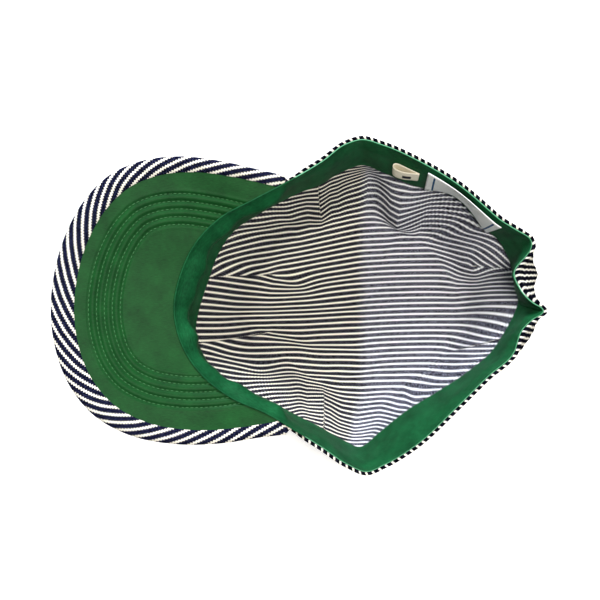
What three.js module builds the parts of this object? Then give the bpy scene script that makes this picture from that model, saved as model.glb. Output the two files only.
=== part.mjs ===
// A soft work cap lying upside down on its crown, opening up, bill towards -X and back towards +X.
// Millimetres, +Z up. Z is 0 where the flattened crown rests, X and Y are 0 in the middle of the cap's box,
// and +Y is the wearer's left.
import * as THREE from 'three';

// Wall thicknesses and the gap that neighbouring pieces keep. The band's layers turn sharply at the back,
// so they keep a little more.
const GAP = 0.3;
const BAND_GAP = 0.55;
const HEADBAND_WALL = 2.2;
const CROWN_WALL = 1.5;
const SWEATBAND_WALL = 1;
const COVER_WALL = 2.6;
const LINING_WALL = 1;
const BINDING_WALL = 1;
const LABEL_WALL = 0.6;

// The band stands between the crown seam and the rim. The crown's edge is caught inside it up to TUCK_SHARE.
const SEAM_HEIGHT = 44;
const TUCK_SHARE = 0.2;

// Layers of the band, as depths in from its outer face. The sweatband leans on the crown's caught edge.
const CROWN_DEPTH = HEADBAND_WALL + BAND_GAP;
const SWEATBAND_TOP_DEPTH = HEADBAND_WALL + BAND_GAP;
const SWEATBAND_TUCK_DEPTH = CROWN_DEPTH + CROWN_WALL + BAND_GAP;
const SWEATBAND_LEAN = (SWEATBAND_TUCK_DEPTH - SWEATBAND_TOP_DEPTH) / (1 - TUCK_SHARE);
const BAND_DEPTH = SWEATBAND_TOP_DEPTH + SWEATBAND_LEAN + SWEATBAND_WALL;

// Around the head opening, counter-clockwise from the back: the rim's outer edge, and the seam where the
// sweatband's inner face meets the crown. The elastic pulls the back in at notch and dip, and below its
// top edge the gathered headband stands out there by the bulge.
const OPENING = [
  { at: 'back_tip', rimX: 136, rimY: -2.8, rimZ: 70, seamX: 127.4, seamY: 1, bulge: 0.5 },
  { at: 'tip_side', rimX: 126, rimY: 10, rimZ: 70, seamX: 125.5, seamY: 10.5, bulge: 6 },
  { at: 'notch', rimX: 122.6, rimY: 17.8, rimZ: 70, seamX: 124.4, seamY: 18.4, bulge: 10 },
  { at: 'corner_low', rimX: 127.4, rimY: 27, rimZ: 71, seamX: 122.2, seamY: 26.8, bulge: 4 },
  { at: 'corner', rimX: 128.6, rimY: 36, rimZ: 72, seamX: 118, seamY: 35, bulge: 1 },
  { at: 'back_left', rimX: 111.9, rimY: 50.6, rimZ: 73, seamX: 107, seamY: 45.5, bulge: 0 },
  { at: 'label_end', rimX: 89.9, rimY: 68.9, rimZ: 74, seamX: 90, seamY: 63, bulge: 0 },
  { at: 'label_start', rimX: 67.9, rimY: 82, rimZ: 74, seamX: 66.5, seamY: 69.5, bulge: 0 },
  { at: 'left_apex_back', rimX: 48.5, rimY: 90.6, rimZ: 74, seamX: 49, seamY: 77, bulge: 0 },
  { at: 'left_apex', rimX: 35.5, rimY: 93.8, rimZ: 74, seamX: 37.3, seamY: 80.9, bulge: 0 },
  { at: 'left_apex_front', rimX: 26, rimY: 91, rimZ: 74, seamX: 26, seamY: 77, bulge: 0 },
  { at: 'left_temple', rimX: 13, rimY: 81.5, rimZ: 74, seamX: 14, seamY: 69.8, bulge: 0 },
  { at: 'left_joint', rimX: -2.5, rimY: 72.3, rimZ: 74, seamX: 0.5, seamY: 64.4, bulge: 0 },
  { at: 'brow_1', rimX: -25.2, rimY: 60.3, rimZ: 74, seamX: -23, seamY: 52, bulge: 0 },
  { at: 'brow_2', rimX: -42.3, rimY: 51.2, rimZ: 73, seamX: -36, seamY: 43, bulge: 0 },
  { at: 'brow_3', rimX: -57, rimY: 36.8, rimZ: 73, seamX: -45.5, seamY: 29, bulge: 0 },
  { at: 'brow_4', rimX: -66.3, rimY: 18, rimZ: 72, seamX: -51, seamY: 14, bulge: 0 },
  { at: 'front', rimX: -70, rimY: -1, rimZ: 72, seamX: -56.3, seamY: -3, bulge: 0 },
  { at: 'brow_5', rimX: -66, rimY: -21, rimZ: 72, seamX: -57.5, seamY: -18, bulge: 0 },
  { at: 'brow_6', rimX: -54, rimY: -39.5, rimZ: 73, seamX: -49, seamY: -35, bulge: 0 },
  { at: 'brow_7', rimX: -36.5, rimY: -53, rimZ: 73, seamX: -33.5, seamY: -46, bulge: 0 },
  { at: 'brow_8', rimX: -18, rimY: -61, rimZ: 74, seamX: -16, seamY: -54.5, bulge: 0 },
  { at: 'right_joint', rimX: -1, rimY: -71, rimZ: 74, seamX: 2, seamY: -64, bulge: 0 },
  { at: 'right_temple', rimX: 12, rimY: -79, rimZ: 74, seamX: 13, seamY: -69.5, bulge: 0 },
  { at: 'right_apex_front', rimX: 27, rimY: -89, rimZ: 74, seamX: 27, seamY: -77.5, bulge: 0 },
  { at: 'right_apex', rimX: 38.5, rimY: -93.4, rimZ: 74, seamX: 37, seamY: -81.2, bulge: 0 },
  { at: 'right_apex_back', rimX: 50, rimY: -89, rimZ: 74, seamX: 47, seamY: -73.5, bulge: 0 },
  { at: 'back_right_1', rimX: 67.9, rimY: -77.8, rimZ: 74, seamX: 62, seamY: -61.5, bulge: 0 },
  { at: 'back_right_2', rimX: 89.9, rimY: -57.2, rimZ: 74, seamX: 81, seamY: -49.5, bulge: 0 },
  { at: 'back_right_3', rimX: 107, rimY: -40.5, rimZ: 73, seamX: 98.5, seamY: -38, bulge: 0 },
  { at: 'back_right_4', rimX: 121.5, rimY: -27.5, rimZ: 72, seamX: 112.5, seamY: -26, bulge: 2 },
  { at: 'dip', rimX: 126, rimY: -15.5, rimZ: 71, seamX: 119.5, seamY: -15.5, bulge: 6 },
];

// The bill's outer edge, from the left joint round the front to the right joint.
const BILL_EDGE = [
  { at: 'left_end', x: -7.5, y: 72.3 },
  { at: 'left_1', x: -20, y: 75 },
  { at: 'left_2', x: -42, y: 79.6 },
  { at: 'left_3', x: -63.5, y: 81.8 },
  { at: 'left_4', x: -84, y: 79.2 },
  { at: 'left_5', x: -101, y: 71.6 },
  { at: 'left_6', x: -114, y: 59 },
  { at: 'front_left', x: -125.3, y: 39.3 },
  { at: 'front_1', x: -132, y: 15.7 },
  { at: 'front_2', x: -133.5, y: -2 },
  { at: 'front_3', x: -131.6, y: -20.5 },
  { at: 'front_right', x: -124, y: -42 },
  { at: 'right_6', x: -110.8, y: -58.8 },
  { at: 'right_5', x: -91, y: -70.3 },
  { at: 'right_4', x: -68.5, y: -75.3 },
  { at: 'right_3', x: -42, y: -75.4 },
  { at: 'right_2', x: -20, y: -72.4 },
  { at: 'right_end', x: -6, y: -71 },
];
const BILL_JOINTS = { left: { x: -5.5, y: 70.8 }, right: { x: -4.2, y: -69.4 } };
const BILL_SLOPE = 0.2;
const BINDING_WIDTH = 13;
const BINDING_END_WIDTH = 1.8;
const BINDING_CORNER = 0.8;

// The crown's wall in sections from the seam down to the flat patch it rests on: how far each has gone from
// the seam towards the floor's edge, or from the floor's edge towards the centre, its height and its puff.
const WALL_SECTIONS = [
  { at: 'seam', share: 0, height: SEAM_HEIGHT, puff: 0 },
  { at: 'shoulder', share: 0.2, height: 34.5, puff: 1 },
  { at: 'waist', share: 0.5, height: 21, puff: 1.8 },
  { at: 'foot', share: 0.82, height: 8.5, puff: 1 },
  { at: 'floor_edge', share: 1, height: 3.5, puff: 0 },
];
const FLOOR_SECTIONS = [
  { at: 'roll', share: 0.1, height: 1 },
  { at: 'patch', share: 0.2, height: 0 },
  { at: 'patch_inner', share: 0.6, height: 0 },
];
const FLOOR = { x: 40, y: -1, halfLength: 57, halfWidth: 51 };

// The knife pleats that take up the crown's fullness, each as a groove in the wall, and the two ends of the
// crease across the crown, counter-clockwise from the back: where they meet the seam, and the angle round
// the floor's ellipse, in degrees, at which they reach it.
const CROWN_LINES = [
  { at: 'back_left', x: 124, y: 22, floor: 30, pleat: true },
  { at: 'left_deep', x: 57, y: 74, floor: 65, pleat: true },
  { at: 'left_crease', x: 37, y: 81, floor: 88, pleat: false },
  { at: 'left_front', x: 15, y: 71, floor: 113, pleat: true },
  { at: 'front_left', x: -50, y: 19, floor: 157, pleat: true },
  { at: 'front_right', x: -57, y: -21, floor: 197, pleat: true },
  { at: 'right_front', x: 17, y: -72, floor: 244, pleat: true },
  { at: 'right_crease', x: 37, y: -81, floor: 272, pleat: false },
  { at: 'right_deep', x: 58, y: -65, floor: 295, pleat: true },
  { at: 'back_right', x: 117, y: -21, floor: 331, pleat: true },
];
const PLEAT_DEPTH = 3;
const PLEAT_HALF_WIDTH = 6;
const PLEAT_DEEPEST = 0.45;

// Labels sewn to the sweatband: where along the band they lie, and between which shares of its height.
const WOVEN_LABEL = { from: { x: 75, y: 78 }, length: 51, low: 0.1, high: 0.92 };
const SIZE_LABEL = { from: { x: 55.5, y: 87 }, length: 16.5, low: 0.3, high: 0.72, loop: 3.2 };

const COLUMNS = 84;
const WALL_STEPS = 2;
const BILL_STEPS = 44;
const LABEL_STEPS = 12;
const SEARCH_STEPS = 1200;
const NORMAL_REACH = 10;

// The middle of the cap's box, in the frame that the tables above are given in.
const MIDDLE = new THREE.Vector3(1.26, 0.32, 0);

// Cumulative distance along a row of points, used as the parameter of every curve through them.
function knotsAlong(points, closed) {
  const knots = [0];
  const last = closed ? points.length : points.length - 1;
  for (let i = 0; i < last; i += 1) {
    const next = points[(i + 1) % points.length];
    knots.push(knots[i] + points[i].distanceTo(next));
  }
  return knots;
}

// A smooth curve through values at knots: cubic pieces whose slopes come from the neighbours on each side.
function smoothCurve(values, knots, closed) {
  const count = values.length;
  const length = knots[knots.length - 1];
  const slopeOver = (i) => {
    const span = knots[i + 1] - knots[i];
    return (values[(i + 1) % count] - values[i]) / span;
  };
  const slopeAt = (i) => {
    if (!closed && i === 0) return slopeOver(0);
    if (!closed && i === count - 1) return slopeOver(count - 2);
    const before = (i + count - 1) % count;
    const spanBefore = knots[before + 1] - knots[before];
    const spanAfter = knots[i + 1] - knots[i];
    return (slopeOver(before) * spanAfter + slopeOver(i) * spanBefore) / (spanBefore + spanAfter);
  };
  return (t) => {
    const place = closed ? ((t % length) + length) % length : Math.min(Math.max(t, 0), length);
    let i = 0;
    while (i < knots.length - 2 && knots[i + 1] <= place) i += 1;
    const span = knots[i + 1] - knots[i];
    const u = (place - knots[i]) / span;
    const after = (i + 1) % count;
    const a = values[i];
    const b = values[after];
    const rise = 1 - 3 * u * u + 2 * u * u * u;
    return a * rise + b * (1 - rise)
      + span * (slopeAt(i) * u * (1 - u) * (1 - u) - slopeAt(after) * u * u * (1 - u));
  };
}

const rimPoints = OPENING.map((row) => new THREE.Vector2(row.rimX, row.rimY));
const rimKnots = knotsAlong(rimPoints, true);
const RIM_LENGTH = rimKnots[rimKnots.length - 1];
const rimColumn = (name) => smoothCurve(OPENING.map((row) => row[name]), rimKnots, true);
const rimX = rimColumn('rimX');
const rimY = rimColumn('rimY');
const rimZ = rimColumn('rimZ');
const seamX = rimColumn('seamX');
const seamY = rimColumn('seamY');
const bulgeAt = rimColumn('bulge');

const rimAt = (s) => new THREE.Vector2(rimX(s), rimY(s));
const seamAt = (s) => new THREE.Vector2(seamX(s), seamY(s));

// The level direction out of the cap, smoothed over NORMAL_REACH each way so that sharp corners stay open.
function outwardAt(s) {
  const along = rimAt(s + NORMAL_REACH).sub(rimAt(s - NORMAL_REACH)).normalize();
  return new THREE.Vector2(along.y, -along.x);
}

// A point in the band's wall: share is 0 at the seam and 1 at the rim, and depth is measured in from the
// outer face.
function bandPoint(s, share, depth) {
  const outward = outwardAt(s);
  const top = rimAt(s).addScaledVector(outward, -depth);
  const bottom = seamAt(s).addScaledVector(outward, BAND_DEPTH - depth);
  const plan = bottom.lerp(top, share);
  return new THREE.Vector3(plan.x, plan.y, SEAM_HEIGHT + share * (rimZ(s) - SEAM_HEIGHT));
}

const sweatbandDepth = (share) => SWEATBAND_TOP_DEPTH + SWEATBAND_LEAN * (1 - share);

// The place along the rim nearest to a point of the plan.
function placeNear(x, y) {
  const target = new THREE.Vector2(x, y);
  let best = 0;
  for (let i = 0; i < SEARCH_STEPS; i += 1) {
    const s = (i / SEARCH_STEPS) * RIM_LENGTH;
    if (rimAt(s).distanceTo(target) < rimAt(best).distanceTo(target)) best = s;
  }
  return best;
}

const smoothStep = (x, from, to) => THREE.MathUtils.smoothstep(x, from, to);

// Triangles that close a section, wound the way its points run.
function capTriangles(section) {
  const normal = new THREE.Vector3();
  section.forEach((point, i) => {
    normal.add(point.clone().cross(section[(i + 1) % section.length]));
  });
  normal.normalize();
  const upright = Math.abs(normal.z) > Math.SQRT1_2;
  const across = upright
    ? new THREE.Vector3(0, normal.z, -normal.y)
    : new THREE.Vector3(normal.y, -normal.x, 0);
  across.normalize();
  const up = normal.clone().cross(across);
  const flat = section.map((point) => new THREE.Vector2(point.dot(across), point.dot(up)));
  const turning = Math.sign(THREE.ShapeUtils.area(flat));
  return THREE.ShapeUtils.triangulateShape(flat, []).map((triangle) => {
    const sameTurn = Math.sign(THREE.ShapeUtils.area(triangle.map((i) => flat[i]))) === turning;
    return sameTurn ? triangle : [triangle[0], triangle[2], triangle[1]];
  });
}

// Skins a row of closed sections that all have the same number of points, as a ring or with capped ends.
function skin(sections, ring) {
  const size = sections[0].length;
  const positions = sections.flat().flatMap((p) => [p.x, p.y, p.z]);
  const index = [];
  const last = ring ? sections.length : sections.length - 1;
  for (let i = 0; i < last; i += 1) {
    const here = i * size;
    const next = ((i + 1) % sections.length) * size;
    for (let j = 0; j < size; j += 1) {
      const k = (j + 1) % size;
      index.push(here + j, next + j, next + k, here + j, next + k, here + k);
    }
  }
  if (!ring) {
    const lastFirst = (sections.length - 1) * size;
    for (const [a, b, c] of capTriangles(sections[0])) index.push(a, b, c);
    for (const [a, b, c] of capTriangles(sections[sections.length - 1])) {
      index.push(lastFirst + a, lastFirst + c, lastFirst + b);
    }
  }
  const geometry = new THREE.BufferGeometry();
  geometry.setAttribute('position', new THREE.Float32BufferAttribute(positions, 3));
  geometry.setIndex(index);
  return facingOut(geometry);
}

// Turns a closed mesh's faces round when they enclose a negative volume.
function facingOut(geometry) {
  const position = geometry.getAttribute('position');
  const index = Array.from(geometry.getIndex().array);
  const corner = [new THREE.Vector3(), new THREE.Vector3(), new THREE.Vector3()];
  let volume = 0;
  for (let i = 0; i < index.length; i += 3) {
    corner.forEach((point, j) => point.fromBufferAttribute(position, index[i + j]));
    volume += corner[0].dot(corner[1].clone().cross(corner[2]));
  }
  if (volume < 0) {
    for (let i = 0; i < index.length; i += 3) {
      [index[i + 1], index[i + 2]] = [index[i + 2], index[i + 1]];
    }
    geometry.setIndex(index);
  }
  geometry.computeVertexNormals();
  return geometry;
}

// The heights at which the band's walls have a ring of points below their top edges.
const BAND_SHARES = [0, TUCK_SHARE, 0.4, 0.6];

const columnPlaces = Array.from({ length: COLUMNS }, (_, i) => (i / COLUMNS) * RIM_LENGTH);

// The bill is sewn on between its two ends, and the headband's top edge passes under it there. The bill
// lies a little below the rim, so that the sweatband's edge stands just over its lining.
const BILL_FROM = placeNear(BILL_JOINTS.left.x, BILL_JOINTS.left.y);
const BILL_TO = placeNear(BILL_JOINTS.right.x, BILL_JOINTS.right.y);
const RIM_OVER_LINING = 1;
const BILL_REST_DEPTH = COVER_WALL / 2 + GAP + LINING_WALL + RIM_OVER_LINING;
const HEADBAND_CLEARANCE = 0.7;
const HEADBAND_DROP = BILL_REST_DEPTH + COVER_WALL / 2 + HEADBAND_CLEARANCE;
const DROP_MARGIN = 2;
const DROP_RAMP = 10;

function headbandDrop(s) {
  const starts = smoothStep(s, BILL_FROM - DROP_MARGIN - DROP_RAMP, BILL_FROM - DROP_MARGIN);
  const ends = smoothStep(s, BILL_TO + DROP_MARGIN, BILL_TO + DROP_MARGIN + DROP_RAMP);
  return HEADBAND_DROP * starts * (1 - ends);
}

// The headband's top edge is a fold, rounded off by this much.
const FOLD = 0.5;

// How far the outer face stands out at a share of the band's height.
function bulge(s, share) {
  return Math.max(0, bulgeAt(s)) * Math.sin(Math.PI * share ** 1.6);
}

function makeHeadband() {
  const sections = columnPlaces.map((s) => {
    const height = rimZ(s) - SEAM_HEIGHT;
    const top = 1 - headbandDrop(s) / height;
    const shares = [...BAND_SHARES, top - FOLD / height];
    const outside = shares.map((share) => bandPoint(s, share, -bulge(s, share)));
    const inside = shares.map((share) => bandPoint(s, share, HEADBAND_WALL));
    const edge = [bandPoint(s, top, FOLD), bandPoint(s, top, HEADBAND_WALL - FOLD)];
    return [...outside, ...edge, ...inside.reverse()];
  });
  return skin(sections, true);
}

function makeSweatband() {
  const shares = [...BAND_SHARES, 1];
  const sections = columnPlaces.map((s) => {
    const side = (wall) => shares.map((share) => bandPoint(s, share, sweatbandDepth(share) + wall));
    return [...side(0), ...side(SWEATBAND_WALL).reverse()];
  });
  return skin(sections, true);
}

// The angle round the floor's ellipse under a place along the rim. It runs once round with the rim, and the
// curve holds what it gains or loses on an even turn.
const linePlaces = CROWN_LINES.map((row) => placeNear(row.x, row.y));
const evenTurn = (s) => (2 * Math.PI * s) / RIM_LENGTH;
const floorLead = smoothCurve(
  CROWN_LINES.map((row, i) => THREE.MathUtils.degToRad(row.floor) - evenTurn(linePlaces[i])),
  [...linePlaces.map((place) => place - linePlaces[0]), RIM_LENGTH],
  true,
);
const floorAngle = (s) => evenTurn(s) + floorLead(s - linePlaces[0]);

// The point of the floor's edge under a place along the rim.
function floorEdge(s) {
  const angle = floorAngle(s);
  return new THREE.Vector2(
    FLOOR.x + FLOOR.halfLength * Math.cos(angle),
    FLOOR.y + FLOOR.halfWidth * Math.sin(angle),
  );
}

const pleatPlaces = linePlaces.filter((_, i) => CROWN_LINES[i].pleat);

// How far the pleats pull the wall in, at a place along the rim and a share of the way down the wall.
function pleatPull(s, down) {
  const fade = down < PLEAT_DEEPEST
    ? smoothStep(down, 0, PLEAT_DEEPEST)
    : 1 - smoothStep(down, PLEAT_DEEPEST, 1);
  let pull = 0;
  for (const place of pleatPlaces) {
    let away = Math.abs(s - place);
    away = Math.min(away, RIM_LENGTH - away);
    pull += Math.max(0, 1 - away / PLEAT_HALF_WIDTH);
  }
  return PLEAT_DEPTH * fade * pull;
}

// The crown's outer face as rings of points, from its caught edge down the wall and in over the floor.
function crownRings() {
  const rings = [];
  rings.push(columnPlaces.map((s) => bandPoint(s, TUCK_SHARE, CROWN_DEPTH)));
  const wallKnots = WALL_SECTIONS.map((_, i) => i);
  const share = smoothCurve(WALL_SECTIONS.map((row) => row.share), wallKnots, false);
  const height = smoothCurve(WALL_SECTIONS.map((row) => row.height), wallKnots, false);
  const puff = smoothCurve(WALL_SECTIONS.map((row) => row.puff), wallKnots, false);
  const steps = (WALL_SECTIONS.length - 1) * WALL_STEPS;
  for (let i = 0; i <= steps; i += 1) {
    const t = i / WALL_STEPS;
    rings.push(columnPlaces.map((s) => {
      const seam = bandPoint(s, 0, CROWN_DEPTH);
      const plan = new THREE.Vector2(seam.x, seam.y).lerp(floorEdge(s), share(t));
      plan.addScaledVector(outwardAt(s), puff(t) - pleatPull(s, i / steps));
      return new THREE.Vector3(plan.x, plan.y, height(t));
    }));
  }
  for (const row of FLOOR_SECTIONS) {
    rings.push(columnPlaces.map((s) => {
      const plan = floorEdge(s).lerp(new THREE.Vector2(FLOOR.x, FLOOR.y), row.share);
      return new THREE.Vector3(plan.x, plan.y, row.height);
    }));
  }
  return rings;
}

// The direction into the cap at a point of the outer face, from the points round it.
function inwardAt(rings, ring, column) {
  const around = rings[ring][(column + 1) % COLUMNS].clone()
    .sub(rings[ring][(column + COLUMNS - 1) % COLUMNS]);
  const down = rings[Math.min(ring + 1, rings.length - 1)][column].clone()
    .sub(rings[Math.max(ring - 1, 0)][column]);
  return around.cross(down).normalize();
}

function makeCrown() {
  const outer = crownRings();
  const caughtRings = 2;
  const inner = outer.map((ring, i) => ring.map((point, column) => {
    const level = outwardAt(columnPlaces[column]).negate();
    const inward = i < caughtRings
      ? new THREE.Vector3(level.x, level.y, 0)
      : inwardAt(outer, i, column);
    if (i >= outer.length - 2) inward.set(0, 0, 1);
    return point.clone().addScaledVector(inward, CROWN_WALL);
  }));
  const centre = new THREE.Vector3(FLOOR.x, FLOOR.y, 0);
  const points = [...outer.flat(), ...inner.flat(), centre, centre.clone().setZ(CROWN_WALL)];
  const innerFirst = outer.length * COLUMNS;
  const outerCentre = 2 * innerFirst;
  const innerCentre = outerCentre + 1;
  const index = [];
  for (let column = 0; column < COLUMNS; column += 1) {
    const next = (column + 1) % COLUMNS;
    for (let ring = 0; ring < outer.length - 1; ring += 1) {
      const a = ring * COLUMNS + column;
      const b = ring * COLUMNS + next;
      const c = (ring + 1) * COLUMNS + next;
      const d = (ring + 1) * COLUMNS + column;
      index.push(a, d, c, a, c, b);
      index.push(...[a, c, d, a, b, c].map((corner) => innerFirst + corner));
    }
    const edge = (outer.length - 1) * COLUMNS;
    index.push(edge + column, outerCentre, edge + next);
    index.push(innerFirst + edge + column, innerFirst + edge + next, innerCentre);
    index.push(column, next, innerFirst + next, column, innerFirst + next, innerFirst + column);
  }
  const geometry = new THREE.BufferGeometry();
  const positions = points.flatMap((p) => [p.x, p.y, p.z]);
  geometry.setAttribute('position', new THREE.Float32BufferAttribute(positions, 3));
  geometry.setIndex(index);
  return facingOut(geometry);
}

const edgePoints = BILL_EDGE.map((row) => new THREE.Vector2(row.x, row.y));
const edgeKnots = knotsAlong(edgePoints, false);
const edgeX = smoothCurve(BILL_EDGE.map((row) => row.x), edgeKnots, false);
const edgeY = smoothCurve(BILL_EDGE.map((row) => row.y), edgeKnots, false);
const EDGE_LENGTH = edgeKnots[edgeKnots.length - 1];

// One rule of the bill, from its outer edge in to the band. e is the distance in from the edge, and lift is
// measured up from the middle of the cover.
function billRule(u) {
  const s = BILL_FROM + u * (BILL_TO - BILL_FROM);
  const outward = outwardAt(s);
  const inner = rimAt(s).addScaledVector(outward, GAP - SWEATBAND_TOP_DEPTH);
  const outer = new THREE.Vector2(edgeX(u * EDGE_LENGTH), edgeY(u * EDGE_LENGTH));
  const width = inner.distanceTo(outer);
  const base = rimZ(s) - BILL_REST_DEPTH;
  const at = (e, lift) => {
    const plan = outer.clone().lerp(inner, e / width);
    return new THREE.Vector3(plan.x, plan.y, base + BILL_SLOPE * (width - e) + lift);
  };
  const clear = width - HEADBAND_WALL - 2 * GAP;
  const binding = Math.min(BINDING_WIDTH, Math.max(BINDING_END_WIDTH, clear));
  return { width, binding, at };
}

const billPlaces = Array.from({ length: BILL_STEPS + 1 }, (_, i) => i / BILL_STEPS);

function makeBillUpper() {
  const half = COVER_WALL / 2;
  const edge = BINDING_WALL + GAP;
  const sections = billPlaces.map((u) => {
    const { width, at } = billRule(u);
    return [at(edge, half), at(width, half), at(width, -half), at(edge, -half)];
  });
  return skin(sections, false);
}

// The lining shows where the bill is wider than its binding, and ends where less than this is left.
const LINING_LEAST = 3.5;

function makeBillLining() {
  const low = COVER_WALL / 2 + GAP;
  const high = low + LINING_WALL;
  const rules = billPlaces.map(billRule).filter(({ width, binding }) => width - binding > LINING_LEAST);
  const sections = rules.map(({ width, binding, at }) => {
    const edge = binding + GAP;
    return [at(edge, high), at(width, high), at(width, low), at(edge, low)];
  });
  return skin(sections, false);
}

function makeBillBinding() {
  const inside = COVER_WALL / 2 + GAP;
  const outside = inside + BINDING_WALL;
  const corner = BINDING_CORNER;
  const sections = billPlaces.map((u) => {
    const { binding, at } = billRule(u);
    return [
      at(binding, outside), at(corner, outside), at(0, outside - corner),
      at(0, corner - outside), at(corner, -outside), at(binding, -outside),
      at(binding, -inside), at(BINDING_WALL, -inside), at(BINDING_WALL, inside), at(binding, inside),
    ];
  });
  return skin(sections, false);
}

function makeWovenLabel() {
  const from = placeNear(WOVEN_LABEL.from.x, WOVEN_LABEL.from.y);
  const sections = [];
  for (let i = 0; i <= LABEL_STEPS; i += 1) {
    const s = from - (i / LABEL_STEPS) * WOVEN_LABEL.length;
    const at = (share, wall) => bandPoint(s, share, sweatbandDepth(share) + SWEATBAND_WALL + GAP + wall);
    sections.push([
      at(WOVEN_LABEL.low, 0), at(WOVEN_LABEL.high, 0),
      at(WOVEN_LABEL.high, LABEL_WALL), at(WOVEN_LABEL.low, LABEL_WALL),
    ]);
  }
  return skin(sections, false);
}

// The size label is a strip folded on itself: its two layers lie on the band at one end and open into a
// loop. Its outline is given as shares of its length, from the loop's end, and of the loop's depth.
const SIZE_LABEL_OUTSIDE = [
  { along: 0.15, deep: 0 },
  { along: 0, deep: 0.35 },
  { along: 0, deep: 0.65 },
  { along: 0.15, deep: 1 },
];

function makeSizeLabel() {
  const from = placeNear(SIZE_LABEL.from.x, SIZE_LABEL.from.y);
  const depth = SIZE_LABEL.loop + 2 * LABEL_WALL;
  const wallAlong = LABEL_WALL / SIZE_LABEL.length;
  const wallDeep = LABEL_WALL / depth;
  const loop = SIZE_LABEL_OUTSIDE;
  const inside = loop.map(({ along, deep }) => ({
    along: along + wallAlong,
    deep: THREE.MathUtils.lerp(wallDeep, 1 - wallDeep, deep),
  }));
  const closedDeep = (2 * LABEL_WALL + GAP) / depth;
  const outline = [
    { along: 1, deep: 0 },
    ...loop,
    { along: 1, deep: closedDeep },
    { along: 1, deep: closedDeep - wallDeep },
    ...inside.reverse(),
    { along: 1, deep: wallDeep },
  ];
  const section = (share) => outline.map(({ along, deep }) => {
    const s = from - along * SIZE_LABEL.length;
    return bandPoint(s, share, sweatbandDepth(share) + SWEATBAND_WALL + GAP + deep * depth);
  });
  return skin([section(SIZE_LABEL.low), section(SIZE_LABEL.high)], false);
}

const cloth = (color) => new THREE.MeshStandardMaterial({ color, roughness: 0.9, metalness: 0 });
const hickory = cloth(0x3a3f52);
const green = cloth(0x2a6b3c);
const white = cloth(0xe6e4df);

const PIECES = [
  { name: 'crown', make: makeCrown, material: hickory },
  { name: 'headband', make: makeHeadband, material: hickory },
  { name: 'sweatband', make: makeSweatband, material: green },
  { name: 'bill_upper', make: makeBillUpper, material: hickory },
  { name: 'bill_binding', make: makeBillBinding, material: hickory },
  { name: 'bill_lining', make: makeBillLining, material: green },
  { name: 'woven_label', make: makeWovenLabel, material: white },
  { name: 'size_label', make: makeSizeLabel, material: white },
];

const cap = new THREE.Group();
for (const { name, make, material } of PIECES) {
  const mesh = new THREE.Mesh(make(), material);
  mesh.name = name;
  cap.add(mesh);
}
cap.position.copy(MIDDLE).negate();

export default cap;
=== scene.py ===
# The looks of a soft work cap that lies upside down on its pleated crown, bill towards -X, opening up.
import math
from collections import namedtuple

import bpy
import numpy as np
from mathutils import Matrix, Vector
from mathutils.bvhtree import BVHTree


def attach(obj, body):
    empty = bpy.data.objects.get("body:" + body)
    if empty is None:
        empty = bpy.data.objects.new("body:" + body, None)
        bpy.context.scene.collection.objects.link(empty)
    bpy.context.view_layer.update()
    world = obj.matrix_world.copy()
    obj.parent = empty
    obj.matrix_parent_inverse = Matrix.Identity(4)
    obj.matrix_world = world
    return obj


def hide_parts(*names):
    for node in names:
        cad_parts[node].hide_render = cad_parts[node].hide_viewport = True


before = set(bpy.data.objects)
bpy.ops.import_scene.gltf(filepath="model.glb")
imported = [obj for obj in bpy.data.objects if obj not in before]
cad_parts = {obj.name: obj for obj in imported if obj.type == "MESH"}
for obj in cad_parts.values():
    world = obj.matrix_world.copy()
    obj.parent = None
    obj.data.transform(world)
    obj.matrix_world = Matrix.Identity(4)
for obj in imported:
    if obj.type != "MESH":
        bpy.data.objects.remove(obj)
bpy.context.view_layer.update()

# All tables and sizes below are in millimetres, in the frame that the cap was measured in. MIDDLE is the
# middle of the cap's box there, which is the origin of the part's own frame.
MM = 0.001
MIDDLE = np.array([1.26, 0.32, 0.0])

# The photograph looks straight down. These turn one of its pixels into a place on the cap.
PHOTO_CENTRE = (296.5, 306.0)
RIM_SCALE = 0.55
RIM_HEIGHT = 74.0
CAMERA_ABOVE_RIM = 620.0
HALF_VIEW = 165.0

# Driving sizes of the cap, as the part has them.
GAP = 0.3
BAND_GAP = 0.55
HEADBAND_WALL = 2.2
CROWN_WALL = 1.5
SWEATBAND_WALL = 1.0
COVER_WALL = 2.6
LINING_WALL = 1.0
BINDING_WALL = 1.0
LABEL_WALL = 0.6
SEAM_HEIGHT = 44.0
TUCK_SHARE = 0.2
CROWN_DEPTH = HEADBAND_WALL + BAND_GAP
SWEATBAND_TOP_DEPTH = HEADBAND_WALL + BAND_GAP
SWEATBAND_TUCK_DEPTH = CROWN_DEPTH + CROWN_WALL + BAND_GAP
SWEATBAND_LEAN = (SWEATBAND_TUCK_DEPTH - SWEATBAND_TOP_DEPTH) / (1 - TUCK_SHARE)
BAND_DEPTH = SWEATBAND_TOP_DEPTH + SWEATBAND_LEAN + SWEATBAND_WALL
NORMAL_REACH = 10.0

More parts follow.
